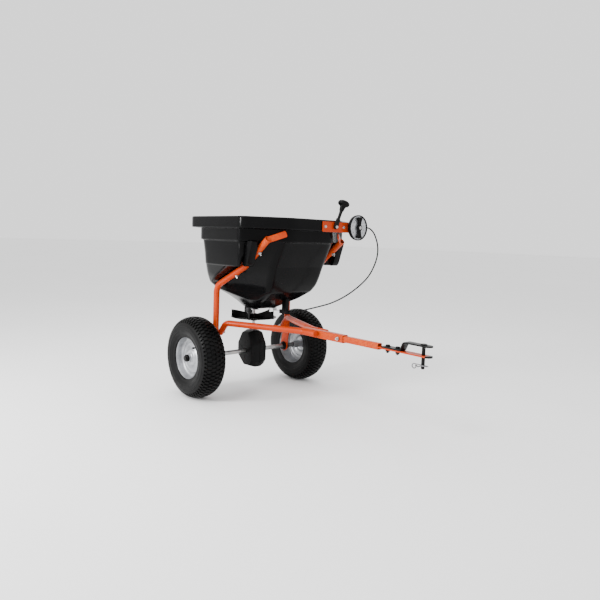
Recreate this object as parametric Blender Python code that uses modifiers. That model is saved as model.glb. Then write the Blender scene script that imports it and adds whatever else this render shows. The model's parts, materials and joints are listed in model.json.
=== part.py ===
"""Tow-behind broadcast garden spreader, built from separate parts.

Metres, +Z up, +X towards the hitch, +Y to the left of the direction of travel.
Every part is modelled about the axle line (X = 0) and parented to an empty that
puts the middle of the whole machine over the world origin.
"""
import math

import bmesh
import bpy
from mathutils import Matrix, Vector

# Overall layout
AXLE_X = -0.385
AXLE_Z = 0.165
GAP = 0.0003
WELD = 0.00001
SIDES = (("right", -1), ("left", 1))

# Wheels
WHEEL_RADIUS = AXLE_Z
WHEEL_Y = 0.2777
TYRE_HALF_WIDTH = 0.052
RIM_SHEET = 0.0025
HUB_RADIUS = 0.0165
HUB_BORE = 0.0125
HUB_HALF_LENGTH = 0.036
AXLE_RADIUS = 0.0095
AXLE_HALF_LENGTH = 0.3285
COTTER_OFFSET = 0.0465
WHEEL_STEPS = 24
DRIVE_PIN_Y = 0.010

# Frame
TUBE_RADIUS = 0.0125
TUBE_WALL = 0.0016
POST_Y = 0.192
POST_X = 0.0135
POST_SLOPE = ((POST_X + 0.002, 0.452), (0.205, 0.543), (0.340, 0.650))
POST_CLEARANCE = 0.0035
FRAME_TUBE_Z = 0.302
BEARING_RADIUS = 0.017
STRAP_THICKNESS = 0.005
DRAWBAR_FOOT_Y = POST_Y - 0.0255
DRAWBAR_BOLT = (0.0135, 0.2602)

# Tongue and hitch
TONGUE_Z = 0.2985
TONGUE_START = 0.340
TONGUE_STEP = 0.560
TONGUE_END = 0.735
TONGUE_BOLT_X = 0.538
OUTER_TUBE = 0.029
INNER_TUBE = 0.0225
TONGUE_WALL = 0.002
PLATE_WIDTH = 0.032
PLATE_TOP = 0.2995
PLATE_THICKNESS = 0.005
HITCH_END = 0.935
CLEVIS_RISE_X = 0.822
CLEVIS_LIFT = 0.028
HITCH_BOLT_X = (0.758, 0.800)
HITCH_PIN_X = 0.903
HITCH_PIN_RADIUS = 0.006
HITCH_PIN_BOTTOM = 0.254

# Drive to the spreading disc
SHAFT_Y = 0.013
SHAFT_RADIUS = 0.006
CASE_RIGHT_Y = -0.032
CASE_LEFT_Y = 0.046
CASE_WALL = 0.004
GEAR_TEETH = 24
PINION_TEETH = 8
GEAR_INNER = 0.025
GEAR_OUTER = 0.035
TOOTH_WIDTH = 0.0021
GEAR_FACE_Y = 0.0008
GEAR_TOOTH_TIP_Y = 0.0045
PINION_TIP = 0.0115
PINION_ROOT = 0.0078
DISC_Z = 0.306
DISC_RADIUS = 0.098
BLADE_TOP = 0.343

# Hopper
HOPPER_WALL = 0.004
FLOOR_Z = 0.362
RIM_TOP = 0.7295
RIM_BOTTOM = 0.687
STEP_BOTTOM = 0.641
POD_BOTTOM = 0.546

# Half outlines of the tub, each from the rear to the front as (x, y) corners
FUNNEL = (
    (FLOOR_Z, ((-0.026, 0.026), (-0.014, 0.038), (0.008, 0.050), (0.025, 0.056), (0.060, 0.060),
               (0.090, 0.060), (0.110, 0.050))),
    (0.385, ((-0.046, 0.036), (-0.032, 0.056), (0.002, 0.078), (0.045, 0.090), (0.085, 0.096),
             (0.115, 0.098), (0.150, 0.082))),
    (0.406, ((-0.062, 0.056), (-0.046, 0.086), (-0.004, 0.108), (0.045, 0.118), (0.090, 0.124),
             (0.135, 0.126), (0.197, 0.100))),
    (0.440, ((-0.088, 0.100), (-0.066, 0.137), (-0.036, 0.158), (-0.024, 0.164), (-0.012, 0.166),
             (0.000, 0.166), (0.256, 0.118))))
# Level, rear corner, rear corner of the side wall, front corner of the side pod, front corner
BODY = (
    (0.468, (-0.084, 0.146), (-0.025, 0.201), (0.012, 0.218), (0.274, 0.130)),
    (0.500, (-0.084, 0.152), (-0.013, 0.224), (0.072, 0.236), (0.288, 0.133)),
    (POD_BOTTOM - 0.004, (-0.084, 0.155), (0.000, 0.241), (0.160, 0.252), (0.302, 0.135)),
    (POD_BOTTOM, (-0.084, 0.155), (0.004, 0.246), (0.262, 0.260), (0.304, 0.135)),
    (0.590, (-0.085, 0.158), (0.001, 0.248), (0.266, 0.262), (0.326, 0.133)),
    (0.616, (-0.086, 0.160), (-0.003, 0.250), (0.267, 0.262), (0.338, 0.131)))
BODY_TOP = ((-0.087, 0.162), (-0.007, 0.251), (0.262, 0.262), (0.273, 0.235), (0.290, 0.206),
            (0.296, 0.176), (0.348, 0.130))
STEP = ((-0.097, 0.168), (-0.018, 0.256), (0.268, 0.270), (0.277, 0.252), (0.300, 0.193),
        (0.345, 0.137), (0.369, 0.108))
RIM = ((-0.125, 0.183), (-0.044, 0.283), (0.286, 0.283), (0.302, 0.274), (0.338, 0.215),
       (0.380, 0.146), (0.389, 0.110))

# Shut-off gate
GATE_START = 0.020
GATE_END = 0.100
GATE_HALF_WIDTH = 0.044
GATE_THICKNESS = 0.0025
GATE_TAB_Y = (0.022, 0.040)
GATE_TAB_END = 0.122
RAIL_DEPTH = 0.006
RAIL_WIDTH = 0.008

# Controls
PLATE_X = 0.3935
PIVOT = Vector((0.402, 0.090, 0.704))
LEVER_LEAN = math.radians(23.0)
KNOB_DISTANCE = 0.098
DIAL = Vector((0.4005, 0.205, 0.705))
DIAL_RADIUS = 0.050
DIAL_DEPTH = 0.018
CABLE_RADIUS = 0.0029
CABLE_Y = 0.031
CABLE_END_X = 0.206
CABLE_END_Z = 0.3535
WIRE_RADIUS = 0.0011
WIRE_END_X = 0.168

COLOURS = {
    "orange": ((0.86, 0.22, 0.03), 0.35, 0.0),
    "black_plastic": ((0.015, 0.015, 0.016), 0.38, 0.0),
    "rubber": ((0.02, 0.02, 0.02), 0.85, 0.0),
    "rim_steel": ((0.55, 0.56, 0.58), 0.35, 0.7),
    "zinc": ((0.62, 0.62, 0.63), 0.32, 0.9),
    "black_steel": ((0.02, 0.02, 0.02), 0.35, 0.3),
    "dial_face": ((0.72, 0.73, 0.75), 0.28, 0.8),
}


def clear_scene():
    for item in list(bpy.data.objects):
        bpy.data.objects.remove(item, do_unlink=True)


def make_collection(name):
    group = bpy.data.collections.new(name)
    bpy.context.scene.collection.children.link(group)
    return group


def make_material(name, finish):
    colour, roughness, metallic = COLOURS[finish]
    material = bpy.data.materials.new(name)
    material.use_nodes = True
    shader = material.node_tree.nodes["Principled BSDF"]
    shader.inputs["Base Color"].default_value = (*colour, 1.0)
    shader.inputs["Roughness"].default_value = roughness
    shader.inputs["Metallic"].default_value = metallic
    return material


def add_part(name, mesh, finish, location=(0, 0, 0), rotation=(0, 0, 0), parent=None):
    """Link a finished mesh as one named part with its own material."""
    part = bpy.data.objects.new(name, mesh)
    PARTS.objects.link(part)
    part.parent = parent or ROOT
    part.location = location
    part.rotation_euler = rotation
    mesh.materials.clear()
    mesh.materials.append(make_material(name, finish))
    mesh.shade_smooth()
    mesh.set_sharp_from_angle(angle=math.radians(32))
    return part


def mesh_from(bm, name):
    bmesh.ops.recalc_face_normals(bm, faces=bm.faces)
    mesh = bpy.data.meshes.new(name)
    bm.to_mesh(mesh)
    bm.free()
    return mesh


def box_mesh(name, low, high):
    bm = bmesh.new()
    low, high = Vector(low), Vector(high)
    size = high - low
    bmesh.ops.create_cube(bm, size=1.0)
    bmesh.ops.scale(bm, vec=size, verts=bm.verts)
    bmesh.ops.translate(bm, vec=(low + high) / 2, verts=bm.verts)
    return mesh_from(bm, name)


def rod_mesh(name, start, end, radius, segments=16, end_radius=None):
    """A round bar between two points."""
    start, end = Vector(start), Vector(end)
    axis = end - start
    bm = bmesh.new()
    far_radius = radius if end_radius is None else end_radius
    bmesh.ops.create_cone(bm, cap_ends=True, segments=segments, radius1=radius,
                          radius2=far_radius, depth=axis.length)
    turn = axis.to_track_quat("Z", "Y").to_matrix().to_4x4()
    place = Matrix.Translation((start + end) / 2) @ turn
    bmesh.ops.transform(bm, matrix=place, verts=bm.verts)
    return mesh_from(bm, name)


def bake(holder):
    """The evaluated mesh of a temporary object, welded and facing out; the object is removed."""
    bpy.context.view_layer.update()
    evaluated = holder.evaluated_get(bpy.context.evaluated_depsgraph_get())
    mesh = bpy.data.meshes.new_from_object(evaluated)
    bpy.data.objects.remove(holder, do_unlink=True)
    bm = bmesh.new()
    bm.from_mesh(mesh)
    bmesh.ops.remove_doubles(bm, verts=bm.verts, dist=WELD)
    bmesh.ops.recalc_face_normals(bm, faces=bm.faces)
    bm.to_mesh(mesh)
    bm.free()
    return mesh


def hold(name, data):
    """A temporary object for modifiers to work on."""
    holder = bpy.data.objects.new(name, data)
    CUTTERS.objects.link(holder)
    return holder


def turned_mesh(name, profile, steps, axis="Y"):
    """Turn a closed loop of (radius, height) points about an axis."""
    bm = bmesh.new()
    loop = [bm.verts.new((radius, 0, height)) for radius, height in profile]
    for first, second in zip(loop, loop[1:] + loop[:1]):
        bm.edges.new((first, second))
    outline = bpy.data.meshes.new(name)
    bm.to_mesh(outline)
    bm.free()
    holder = hold(name, outline)
    screw = holder.modifiers.new("turn", "SCREW")
    screw.steps = steps
    screw.render_steps = steps
    screw.use_merge_vertices = True
    screw.merge_threshold = WELD
    mesh = bake(holder)
    if axis == "Y":
        mesh.transform(Matrix.Rotation(math.radians(-90), 4, "X"))
    return mesh


def outline_mesh(name, outline, low, high, plane="XZ"):
    """Extrude a flat outline between two levels along the plane's normal."""
    curve = bpy.data.curves.new(name, "CURVE")
    curve.dimensions = "2D"
    curve.fill_mode = "BOTH"
    curve.extrude = (high - low) / 2
    spline = curve.splines.new("POLY")
    spline.points.add(len(outline) - 1)
    spline.use_cyclic_u = True
    for target, point in zip(spline.points, outline):
        target.co = (*point, 0.0, 1.0)
    mesh = bake(hold(name, curve))
    mesh.transform(Matrix.Translation((0, 0, (low + high) / 2)))
    if plane == "XZ":
        mesh.transform(Matrix(((1, 0, 0), (0, 0, 1), (0, 1, 0))).to_4x4())
        mesh.flip_normals()
    elif plane == "YZ":
        mesh.transform(Matrix(((0, 0, 1), (1, 0, 0), (0, 1, 0))).to_4x4())
    return mesh


def arc(centre, radius, start, end, steps):
    """Points on an arc, angles in degrees."""
    points = []
    for step in range(steps + 1):
        angle = math.radians(start + (end - start) * step / steps)
        points.append((centre[0] + radius * math.cos(angle), centre[1] + radius * math.sin(angle)))
    return points


def rounded_path(points, radius, steps=5):
    """Replace each inner corner of a path with an arc of the given bend radius."""
    points = [Vector(point) for point in points]
    path = [points[0]]
    for before, corner, after in zip(points, points[1:], points[2:]):
        inward = (before - corner).normalized()
        outward = (after - corner).normalized()
        half = inward.angle(outward) / 2
        trim = radius / math.tan(half)
        centre = corner + (inward + outward).normalized() * (radius / math.sin(half))
        first, last = corner + inward * trim - centre, corner + outward * trim - centre
        for step in range(steps + 1):
            path.append(centre + first.slerp(last, step / steps).normalized() * radius)
    path.append(points[-1])
    return path


def curve_mesh(name, path, radius, resolution=3, wall=0.0):
    """A bar or, with a wall, an open-ended tube along a path."""
    curve = bpy.data.curves.new(name, "CURVE")
    curve.dimensions = "3D"
    curve.bevel_depth = radius
    curve.bevel_resolution = resolution
    curve.use_fill_caps = wall == 0.0
    spline = curve.splines.new("POLY")
    spline.points.add(len(path) - 1)
    for target, point in zip(spline.points, path):
        target.co = (*point, 1.0)
    holder = hold(name, curve)
    if wall:
        shell = holder.modifiers.new("wall", "SOLIDIFY")
        shell.thickness = wall
        shell.offset = -1
    return bake(holder)


def combine(mesh, others, operation):
    """Join other meshes to a mesh, or cut them from it, and return the result."""
    base = hold("base", mesh)
    tools = [hold("tool", other) for other in others]
    for tool in tools:
        step = base.modifiers.new("step", "BOOLEAN")
        step.operation = operation
        step.object = tool
    bpy.context.view_layer.update()
    evaluated = base.evaluated_get(bpy.context.evaluated_depsgraph_get())
    result = bpy.data.meshes.new_from_object(evaluated)
    for item in [base, *tools]:
        bpy.data.objects.remove(item, do_unlink=True)
    return result


def hexagon_rod(name, start, end, across):
    return rod_mesh(name, start, end, across / 2 / math.cos(math.pi / 6), 6)


# Wheels and axle

def tyre_profile():
    """A C-shaped casing: outside from bead to bead, then back along the inside."""
    outside = [(0.0838, -0.0285), (0.0892, -0.0330), (0.0912, -0.0395), (0.0960, -0.0480),
               (0.118, -TYRE_HALF_WIDTH), (0.148, -0.0460), (0.1615, -0.0280), (WHEEL_RADIUS, 0.0)]
    outside += [(radius, -height) for radius, height in reversed(outside[:-1])]
    inside = [(0.0838, 0.0225), (0.0950, 0.0300), (0.1010, 0.0425), (0.118, 0.0460), (0.1430, 0.0395),
              (0.1565, 0.0)]
    inside += [(radius, -height) for radius, height in reversed(inside[:-1])]
    return outside + inside


def rim_profile():
    """Stepped barrel with rolled lips and a dished disc joined to its middle."""
    t = RIM_SHEET
    outer = [(0.0885, -0.0335), (0.0905, -0.0395), (0.0885, -0.0415), (0.0855, -0.039),
             (0.0800, -0.028), (0.0800, -0.016), (0.070, -0.0115), (0.040, -0.0165),
             (0.030, -0.026), (HUB_RADIUS + GAP, -0.026)]
    back = [(HUB_RADIUS + GAP, -0.026 + t), (0.0315, -0.026 + t), (0.042, -0.0165 + t),
            (0.070, -0.0115 + t), (0.0800, -0.0125), (0.0800, 0.028), (0.0855, 0.039), (0.0885, 0.0415),
            (0.0905, 0.0395), (0.0885, 0.0335), (0.0830, 0.028), (0.0830, -0.028)]
    return outer + back


def cut_cross_hole(mesh, side_name):
    """Cut the drive pin's hole, which only the driving wheel has."""
    if side_name != "right":
        return mesh
    hole = rod_mesh("hole", (0, DRIVE_PIN_Y, -0.03), (0, DRIVE_PIN_Y, 0.03), 0.0028, 12)
    return combine(mesh, [hole], "DIFFERENCE")


def make_wheel(side_name, side):
    """One pneumatic wheel; profiles are drawn for the outer side facing -Y."""
    flip = -side
    hub_y = side * WHEEL_Y
    centre = (0, hub_y, AXLE_Z)

    def turned(name, profile, steps=WHEEL_STEPS):
        flipped = [(radius, height * flip) for radius, height in profile]
        return turned_mesh(name, flipped, steps)

    add_part(f"tyre_{side_name}", turned("tyre", tyre_profile()), "rubber", centre)
    add_part(f"wheel_rim_{side_name}", turned("rim", rim_profile()), "rim_steel", centre)
    hub = [(HUB_BORE, -HUB_HALF_LENGTH), (HUB_RADIUS, -HUB_HALF_LENGTH),
           (HUB_RADIUS, HUB_HALF_LENGTH), (HUB_BORE, HUB_HALF_LENGTH)]
    hub_mesh = turned("hub", hub, 16)
    add_part(f"wheel_hub_{side_name}", cut_cross_hole(hub_mesh, side_name), "rim_steel", centre)
    reach = HUB_HALF_LENGTH + GAP
    bushing = [(AXLE_RADIUS + GAP, reach), (HUB_BORE - GAP, reach), (HUB_BORE - GAP, -reach),
               (0.0145, -reach), (0.0140, -reach - 0.005), (AXLE_RADIUS + GAP, -reach - 0.005)]
    add_part(f"hub_bushing_{side_name}", cut_cross_hole(turned("bushing", bushing, 16), side_name),
             "black_plastic", centre)
    stem_y = -0.0150 * flip
    stem = rod_mesh("stem", (0, stem_y, 0), (0, stem_y - 0.022 * flip, 0), 0.0042, 12, 0.0034)
    angle = math.radians(52)
    location = (0.058 * math.cos(angle), hub_y, AXLE_Z + 0.058 * math.sin(angle))
    add_part(f"valve_stem_{side_name}", stem, "black_plastic", location)


def make_axle():
    """Solid axle with washers and cotter pins at both ends and a drive pin in the right hub."""
    rod = rod_mesh("axle", (0, -AXLE_HALF_LENGTH, 0), (0, AXLE_HALF_LENGTH, 0), AXLE_RADIUS, 22)
    rod.transform(Matrix.Rotation(math.radians(4), 4, "Y"))
    pin_y = DRIVE_PIN_Y - WHEEL_Y
    holes = [rod_mesh("hole", (0, pin_y, -0.02), (0, pin_y, 0.02), 0.0028, 12)]
    cotter_y = WHEEL_Y + COTTER_OFFSET
    for _, side in SIDES:
        holes.append(rod_mesh("hole", (0, side * cotter_y, -0.02), (0, side * cotter_y, 0.02), 0.0019, 10))
    add_part("axle", combine(rod, holes, "DIFFERENCE"), "zinc", (0, 0, AXLE_Z))
    pin = rod_mesh("pin", (0, 0, -0.0215), (0, 0, 0.0215), 0.0025, 12)
    add_part("drive_pin", pin, "zinc", (0, pin_y, AXLE_Z))
    for side_name, side in SIDES:
        washer_y = side * (WHEEL_Y + HUB_HALF_LENGTH + 0.0065)
        washer = turned_mesh("washer", [(AXLE_RADIUS + GAP, -0.001), (0.0140, -0.001),
                                        (0.0140, 0.001), (AXLE_RADIUS + GAP, 0.001)], 24)
        add_part(f"axle_washer_{side_name}", washer, "black_steel", (0, washer_y, AXLE_Z))
        cotter = rod_mesh("cotter", (0, 0, -0.0130), (0, 0, 0.0130), 0.0016, 10)
        add_part(f"axle_cotter_{side_name}", cotter, "black_steel", (0, side * cotter_y, AXLE_Z))


# Frame

def strap_outline():
    """Flattened foot of a hopper post: round about the axle and tapering to the tube."""
    eye = arc((0, AXLE_Z), 0.026, 165, 375, 14)
    return eye + [(POST_X + 0.0145, 0.225), (POST_X + 0.012, 0.262), (POST_X - 0.012, 0.262)]


def make_hopper_post(side_name, side):
    """Bent tube from the axle up under the hopper, with a flattened foot and head."""
    def at(x, z, y=POST_Y):
        return (x, side * y, z)

    corners = [at(POST_X, 0.246), *(at(x, z) for x, z in POST_SLOPE)]
    tube = curve_mesh("post", rounded_path(corners, 0.045), TUBE_RADIUS, 2, TUBE_WALL)
    foot = outline_mesh("foot", strap_outline(), side * POST_Y - STRAP_THICKNESS / 2,
                        side * POST_Y + STRAP_THICKNESS / 2)
    head_start, head_end = Vector(at(0.331, 0.6445)), Vector(at(0.373, 0.671, 0.134))
    along = head_end - head_start
    head = box_mesh("head", (0, -0.003, -0.0115), (along.length, 0.003, 0.0115))
    across = Vector((0, side * 0.2, -1)).cross(along).normalized()
    upward = along.normalized().cross(across)
    frame = Matrix((along.normalized(), across, upward)).transposed().to_4x4()
    head.transform(Matrix.Translation(head_start) @ frame)
    tube = combine(tube, [foot, head], "UNION")
    bore = rod_mesh("bore", at(0, AXLE_Z, POST_Y - 0.02), at(0, AXLE_Z, POST_Y + 0.02),
                    BEARING_RADIUS + GAP, 24)
    add_part(f"hopper_post_{side_name}", combine(tube, [bore], "DIFFERENCE"), "orange")


def make_drawbar_tube(side_name, side):
    """Bent tube from the post foot forwards and inwards to the tongue."""
    def at(x, y, z):
        return (x, side * y, z)

    corners = [at(0.009, DRAWBAR_FOOT_Y, 0.255), at(0.050, DRAWBAR_FOOT_Y, FRAME_TUBE_Z),
               at(0.368, 0.0292, FRAME_TUBE_Z), at(0.436, 0.0292, FRAME_TUBE_Z)]
    tube = curve_mesh("drawbar", rounded_path(corners, 0.034), TUBE_RADIUS, 2, TUBE_WALL)
    add_part(f"drawbar_tube_{side_name}", tube, "orange")
    bolt_y = side * (DRAWBAR_FOOT_Y - TUBE_RADIUS - GAP)
    bolt = hexagon_rod("bolt", (0, bolt_y, 0), (0, bolt_y - side * 0.0055, 0), 0.012)
    add_part(f"frame_bolt_{side_name}", bolt, "zinc", (DRAWBAR_BOLT[0], 0, DRAWBAR_BOLT[1]))


def make_axle_bearing(side_name, side):
    inner, flange = AXLE_RADIUS + GAP, 0.024
    half, face = 0.0135, 0.0025 + GAP
    profile = [(inner, -half), (BEARING_RADIUS, -half), (BEARING_RADIUS, face), (flange, face),
               (flange, half), (inner, half)]
    bearing = turned_mesh("bearing", [(r, -side * h) for r, h in profile], 16)
    add_part(f"axle_bearing_{side_name}", bearing, "black_plastic", (0, side * POST_Y, AXLE_Z))


def square_tube(name, start, end, size, wall):
    half, hole = size / 2, size / 2 - wall
    shell = box_mesh(name, (start, -half, -half), (end, half, half))
    core = box_mesh("core", (start - 0.01, -hole, -hole), (end + 0.01, hole, hole))
    return combine(shell, [core], "DIFFERENCE")


def make_tongue():
    outer = square_tube("outer", TONGUE_START, TONGUE_STEP, OUTER_TUBE, TONGUE_WALL)
    inner = square_tube("inner", 0.470, TONGUE_END - 0.012, INNER_TUBE, TONGUE_WALL)
    hole = rod_mesh("hole", (TONGUE_BOLT_X, -0.03, 0), (TONGUE_BOLT_X, 0.03, 0), 0.0042 + GAP, 12)
    add_part("tongue_outer_tube", combine(outer, [hole.copy()], "DIFFERENCE"), "orange", (0, 0, TONGUE_Z))
    add_part("tongue_inner_tube", combine(inner, [hole], "DIFFERENCE"), "orange", (0, 0, TONGUE_Z))
    reach = OUTER_TUBE / 2 + GAP
    shank = rod_mesh("shank", (0, -reach - 0.012, 0), (0, reach + 0.002, 0), 0.0042, 12)
    head = hexagon_rod("head", (0, reach, 0), (0, reach + 0.0055, 0), 0.013)
    nut = hexagon_rod("nut", (0, -reach - 0.0065, 0), (0, -reach, 0), 0.013)
    add_part("tongue_bolt", combine(shank, [head, nut], "UNION"), "zinc", (TONGUE_BOLT_X, 0, TONGUE_Z))


# Hitch

def rounded_bar(start, end, width):
    """Plan outline of a flat bar with a half-round far end."""
    half = width / 2
    return [(start, half), (start, -half)] + arc((end - half, 0), half, -90, 90, 12)


def make_hitch():
    start = TONGUE_END - 0.0115
    bar = outline_mesh("bar", rounded_bar(start, HITCH_END, PLATE_WIDTH),
                       PLATE_TOP - PLATE_THICKNESS, PLATE_TOP, "XY")
    low = PLATE_TOP + GAP
    top, rise = low + PLATE_THICKNESS, CLEVIS_RISE_X
    side_view = [(0.742, low), (rise, low), (rise + 0.012, low + CLEVIS_LIFT),
                 (HITCH_END, low + CLEVIS_LIFT), (HITCH_END, top + CLEVIS_LIFT),
                 (rise + 0.0085, top + CLEVIS_LIFT), (rise - 0.0035, top), (0.742, top)]
    clevis = outline_mesh("clevis", side_view, -PLATE_WIDTH / 2, PLATE_WIDTH / 2)
    nose = outline_mesh("nose", rounded_bar(0.70, HITCH_END, PLATE_WIDTH), 0.20, 0.40, "XY")
    clevis = combine(clevis, [nose], "INTERSECT")
    holes = [rod_mesh("hole", (HITCH_PIN_X, 0, 0.2), (HITCH_PIN_X, 0, 0.4), HITCH_PIN_RADIUS + 0.0005, 20)]
    for x in HITCH_BOLT_X:
        holes.append(rod_mesh("hole", (x, 0, 0.2), (x, 0, 0.4), 0.0042 + GAP, 12))
    bar = combine(bar, [hole.copy() for hole in holes], "DIFFERENCE")
    clevis = combine(clevis, holes, "DIFFERENCE")
    add_part("hitch_bar", bar, "orange")
    add_part("hitch_clevis", clevis, "black_steel")
    for label, x in zip(("rear", "front"), HITCH_BOLT_X):
        under = PLATE_TOP - PLATE_THICKNESS - GAP
        shank = rod_mesh("shank", (0, 0, under - 0.012), (0, 0, top + 0.002), 0.0042, 12)
        head = hexagon_rod("head", (0, 0, top + GAP), (0, 0, top + 0.006), 0.014)
        nut = hexagon_rod("nut", (0, 0, under - 0.0075), (0, 0, under), 0.014)
        add_part(f"hitch_bolt_{label}", combine(shank, [head, nut], "UNION"), "black_steel", (x, 0, 0))
    seat = top + CLEVIS_LIFT + GAP
    pin = rod_mesh("pin", (0, 0, HITCH_PIN_BOTTOM), (0, 0, seat + 0.001), HITCH_PIN_RADIUS, 20)
    cap = rod_mesh("cap", (0, 0, seat), (0, 0, seat + 0.006), 0.0115, 20)
    hole = rod_mesh("hole", (-0.02, 0, 0.2665), (0.02, 0, 0.2665), 0.0018 + GAP, 10)
    pin = combine(combine(pin, [cap], "UNION"), [hole], "DIFFERENCE")
    add_part("hitch_pin", pin, "black_steel", (HITCH_PIN_X, 0, 0))
    make_hairpin()


def make_hairpin():
    """Spring clip: one straight leg through the pin, a loop, and a bowed leg in front of it."""
    loop_x, loop_r, wire = -0.034, 0.0075, 0.0018
    path = [(0.020, 0, 0), (-0.010, 0, 0)]
    path += [(loop_x + loop_r * math.cos(a), 0, loop_r * math.sin(a) - loop_r)
             for a in (math.radians(90 + 25 * step) for step in range(13))]
    clear_y = HITCH_PIN_RADIUS + wire + GAP
    path += [(-0.016, -0.004, -0.0065), (-0.007, -clear_y, -0.003), (0.004, -clear_y, 0.0),
             (0.014, -clear_y - 0.0002, 0.0005), (0.021, -clear_y - 0.002, 0.0005)]
    clip = curve_mesh("hairpin", path, wire, 2)
    add_part("hairpin_clip", clip, "zinc", (HITCH_PIN_X, 0, 0.2665))


# Gear case and spreading disc

def case_outline(inset=0.0):
    """Stretched hexagon with cut corners, in the plane across the axle."""
    top, bottom = AXLE_Z + 0.090 - inset, AXLE_Z - 0.0695 + inset
    waist = 0.058 - inset
    return [(-0.025 + inset * 0.4, top), (0.025 - inset * 0.4, top), (waist, 0.199), (waist, 0.142),
            (0.022 - inset * 0.4, bottom), (-0.022 + inset * 0.4, bottom), (-waist, 0.142), (-waist, 0.199)]


def make_gear_case():
    axle_bore = rod_mesh("bore", (0, -0.1, AXLE_Z), (0, 0.1, AXLE_Z), AXLE_RADIUS + GAP, 24)
    shaft_bore = rod_mesh("bore", (0, SHAFT_Y, 0.20), (0, SHAFT_Y, 0.30), SHAFT_RADIUS + GAP, 20)
    for (side_name, side), outer in zip(SIDES, (CASE_RIGHT_Y, CASE_LEFT_Y)):
        inner = SHAFT_Y + side * GAP / 2
        half = outline_mesh("case", case_outline(), *sorted((outer, inner)))
        hollow = sorted((outer - side * CASE_WALL, inner - side * 0.01))
        cavity = outline_mesh("cavity", case_outline(CASE_WALL), *hollow)
        cut = combine(half, [cavity, axle_bore.copy(), shaft_bore.copy()], "DIFFERENCE")
        add_part(f"gear_case_{side_name}", cut, "black_plastic")


def gear_mesh_by_outline(name, teeth, root, tip, width, low, high, bore, phase):
    """A straight-toothed wheel: one outline of teeth, extruded along Z."""
    outline = []
    for tooth in range(teeth):
        middle = 2 * math.pi * tooth / teeth + phase
        for radius, share in ((root, -1.15), (tip, -0.75), (tip, 0.75), (root, 1.15)):
            angle = middle + share * width / 2 / radius
            outline.append((radius * math.cos(angle), radius * math.sin(angle)))
    wheel = outline_mesh(name, outline, low, high, "XY")
    if bore:
        hole = rod_mesh("hole", (0, 0, low - 0.01), (0, 0, high + 0.01), bore, 20)
        wheel = combine(wheel, [hole], "DIFFERENCE")
    return wheel


def make_drive_gear():
    """Crown gear on the axle: a disc with a ring of radial teeth on its +Y face."""
    disc = turned_mesh("disc", [(AXLE_RADIUS + GAP, GEAR_FACE_Y - 0.007), (GEAR_OUTER, GEAR_FACE_Y - 0.007),
                                (GEAR_OUTER, GEAR_FACE_Y), (AXLE_RADIUS + GAP, GEAR_FACE_Y)], 28)
    teeth = []
    for tooth in range(GEAR_TEETH):
        angle = 2 * math.pi * (tooth + 0.5) / GEAR_TEETH
        block = box_mesh("tooth", (-TOOTH_WIDTH / 2, GEAR_FACE_Y - 0.003, GEAR_INNER + 0.001),
                         (TOOTH_WIDTH / 2, GEAR_TOOTH_TIP_Y, GEAR_OUTER - 0.001))
        block.transform(Matrix.Rotation(angle, 4, "Y"))
        teeth.append(block)
    add_part("drive_gear", combine(disc, teeth, "UNION"), "zinc", (0, 0, AXLE_Z))


def make_spinner():
    bottom, top = AXLE_Z + GEAR_INNER, AXLE_Z + GEAR_OUTER
    pinion = gear_mesh_by_outline("pinion", PINION_TEETH, PINION_ROOT, PINION_TIP, TOOTH_WIDTH,
                                  bottom, top, SHAFT_RADIUS + GAP, -math.pi / 2)
    add_part("pinion", pinion, "zinc", (0, SHAFT_Y, 0))
    shaft = rod_mesh("shaft", (0, 0, AXLE_Z + 0.014), (0, 0, 0.425), SHAFT_RADIUS, 20)
    hole = rod_mesh("hole", (-0.02, 0, 0.410), (0.02, 0, 0.410), 0.0025 + GAP, 12)
    add_part("spinner_shaft", combine(shaft, [hole], "DIFFERENCE"), "zinc", (0, SHAFT_Y, 0))
    agitator = rod_mesh("agitator", (-0.034, 0, 0.410), (0.034, 0, 0.410), 0.0025, 12)
    add_part("agitator_pin", agitator, "zinc", (0, SHAFT_Y, 0))
    make_disc()


def make_disc():
    """Spreading disc: shallow dish, hub and curved upright blades, as one moulding."""
    bore = SHAFT_RADIUS + GAP
    dish = [(bore, DISC_Z - 0.012), (0.014, DISC_Z - 0.012), (0.016, DISC_Z - 0.003),
            (DISC_RADIUS, DISC_Z + 0.003), (DISC_RADIUS, DISC_Z + 0.0065), (0.018, DISC_Z + 0.001),
            (0.013, DISC_Z + 0.020), (bore, DISC_Z + 0.020)]
    disc = turned_mesh("disc", dish, 26, "Z")
    blades = []
    for blade in range(5):
        outline = []
        back = []
        for step in range(5):
            share = step / 4
            radius = 0.020 + share * (DISC_RADIUS - 0.022)
            angle = math.radians(72 * blade + 24 * share * share)
            across = Vector((-math.sin(angle), math.cos(angle))) * 0.0014
            middle = Vector((radius * math.cos(angle), radius * math.sin(angle)))
            outline.append(tuple(middle + across))
            back.append(tuple(middle - across))
        wall = outline_mesh("blade", outline + back[::-1], DISC_Z, BLADE_TOP, "XY")
        slope = (BLADE_TOP - DISC_Z - 0.014) / DISC_RADIUS
        for vertex in wall.vertices:
            if vertex.co.z > DISC_Z + 0.001:
                radius = math.hypot(vertex.co.x, vertex.co.y)
                vertex.co.z = DISC_Z + 0.014 + slope * radius
        blades.append(wall)
    add_part("spreading_disc", combine(disc, blades, "UNION"), "black_plastic", (0, SHAFT_Y, 0))


# Hopper

def ledge_x(level):
    """How far forward the tub may reach above the sloping post at a height."""
    reach = []
    for start, end in zip(POST_SLOPE, POST_SLOPE[1:]):
        slope = (end[1] - start[1]) / (end[0] - start[0])
        centre = start[0] + (level - start[1]) / slope
        reach.append(centre - (TUBE_RADIUS + POST_CLEARANCE) / math.sin(math.atan(slope)))
    return min(reach)


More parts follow.
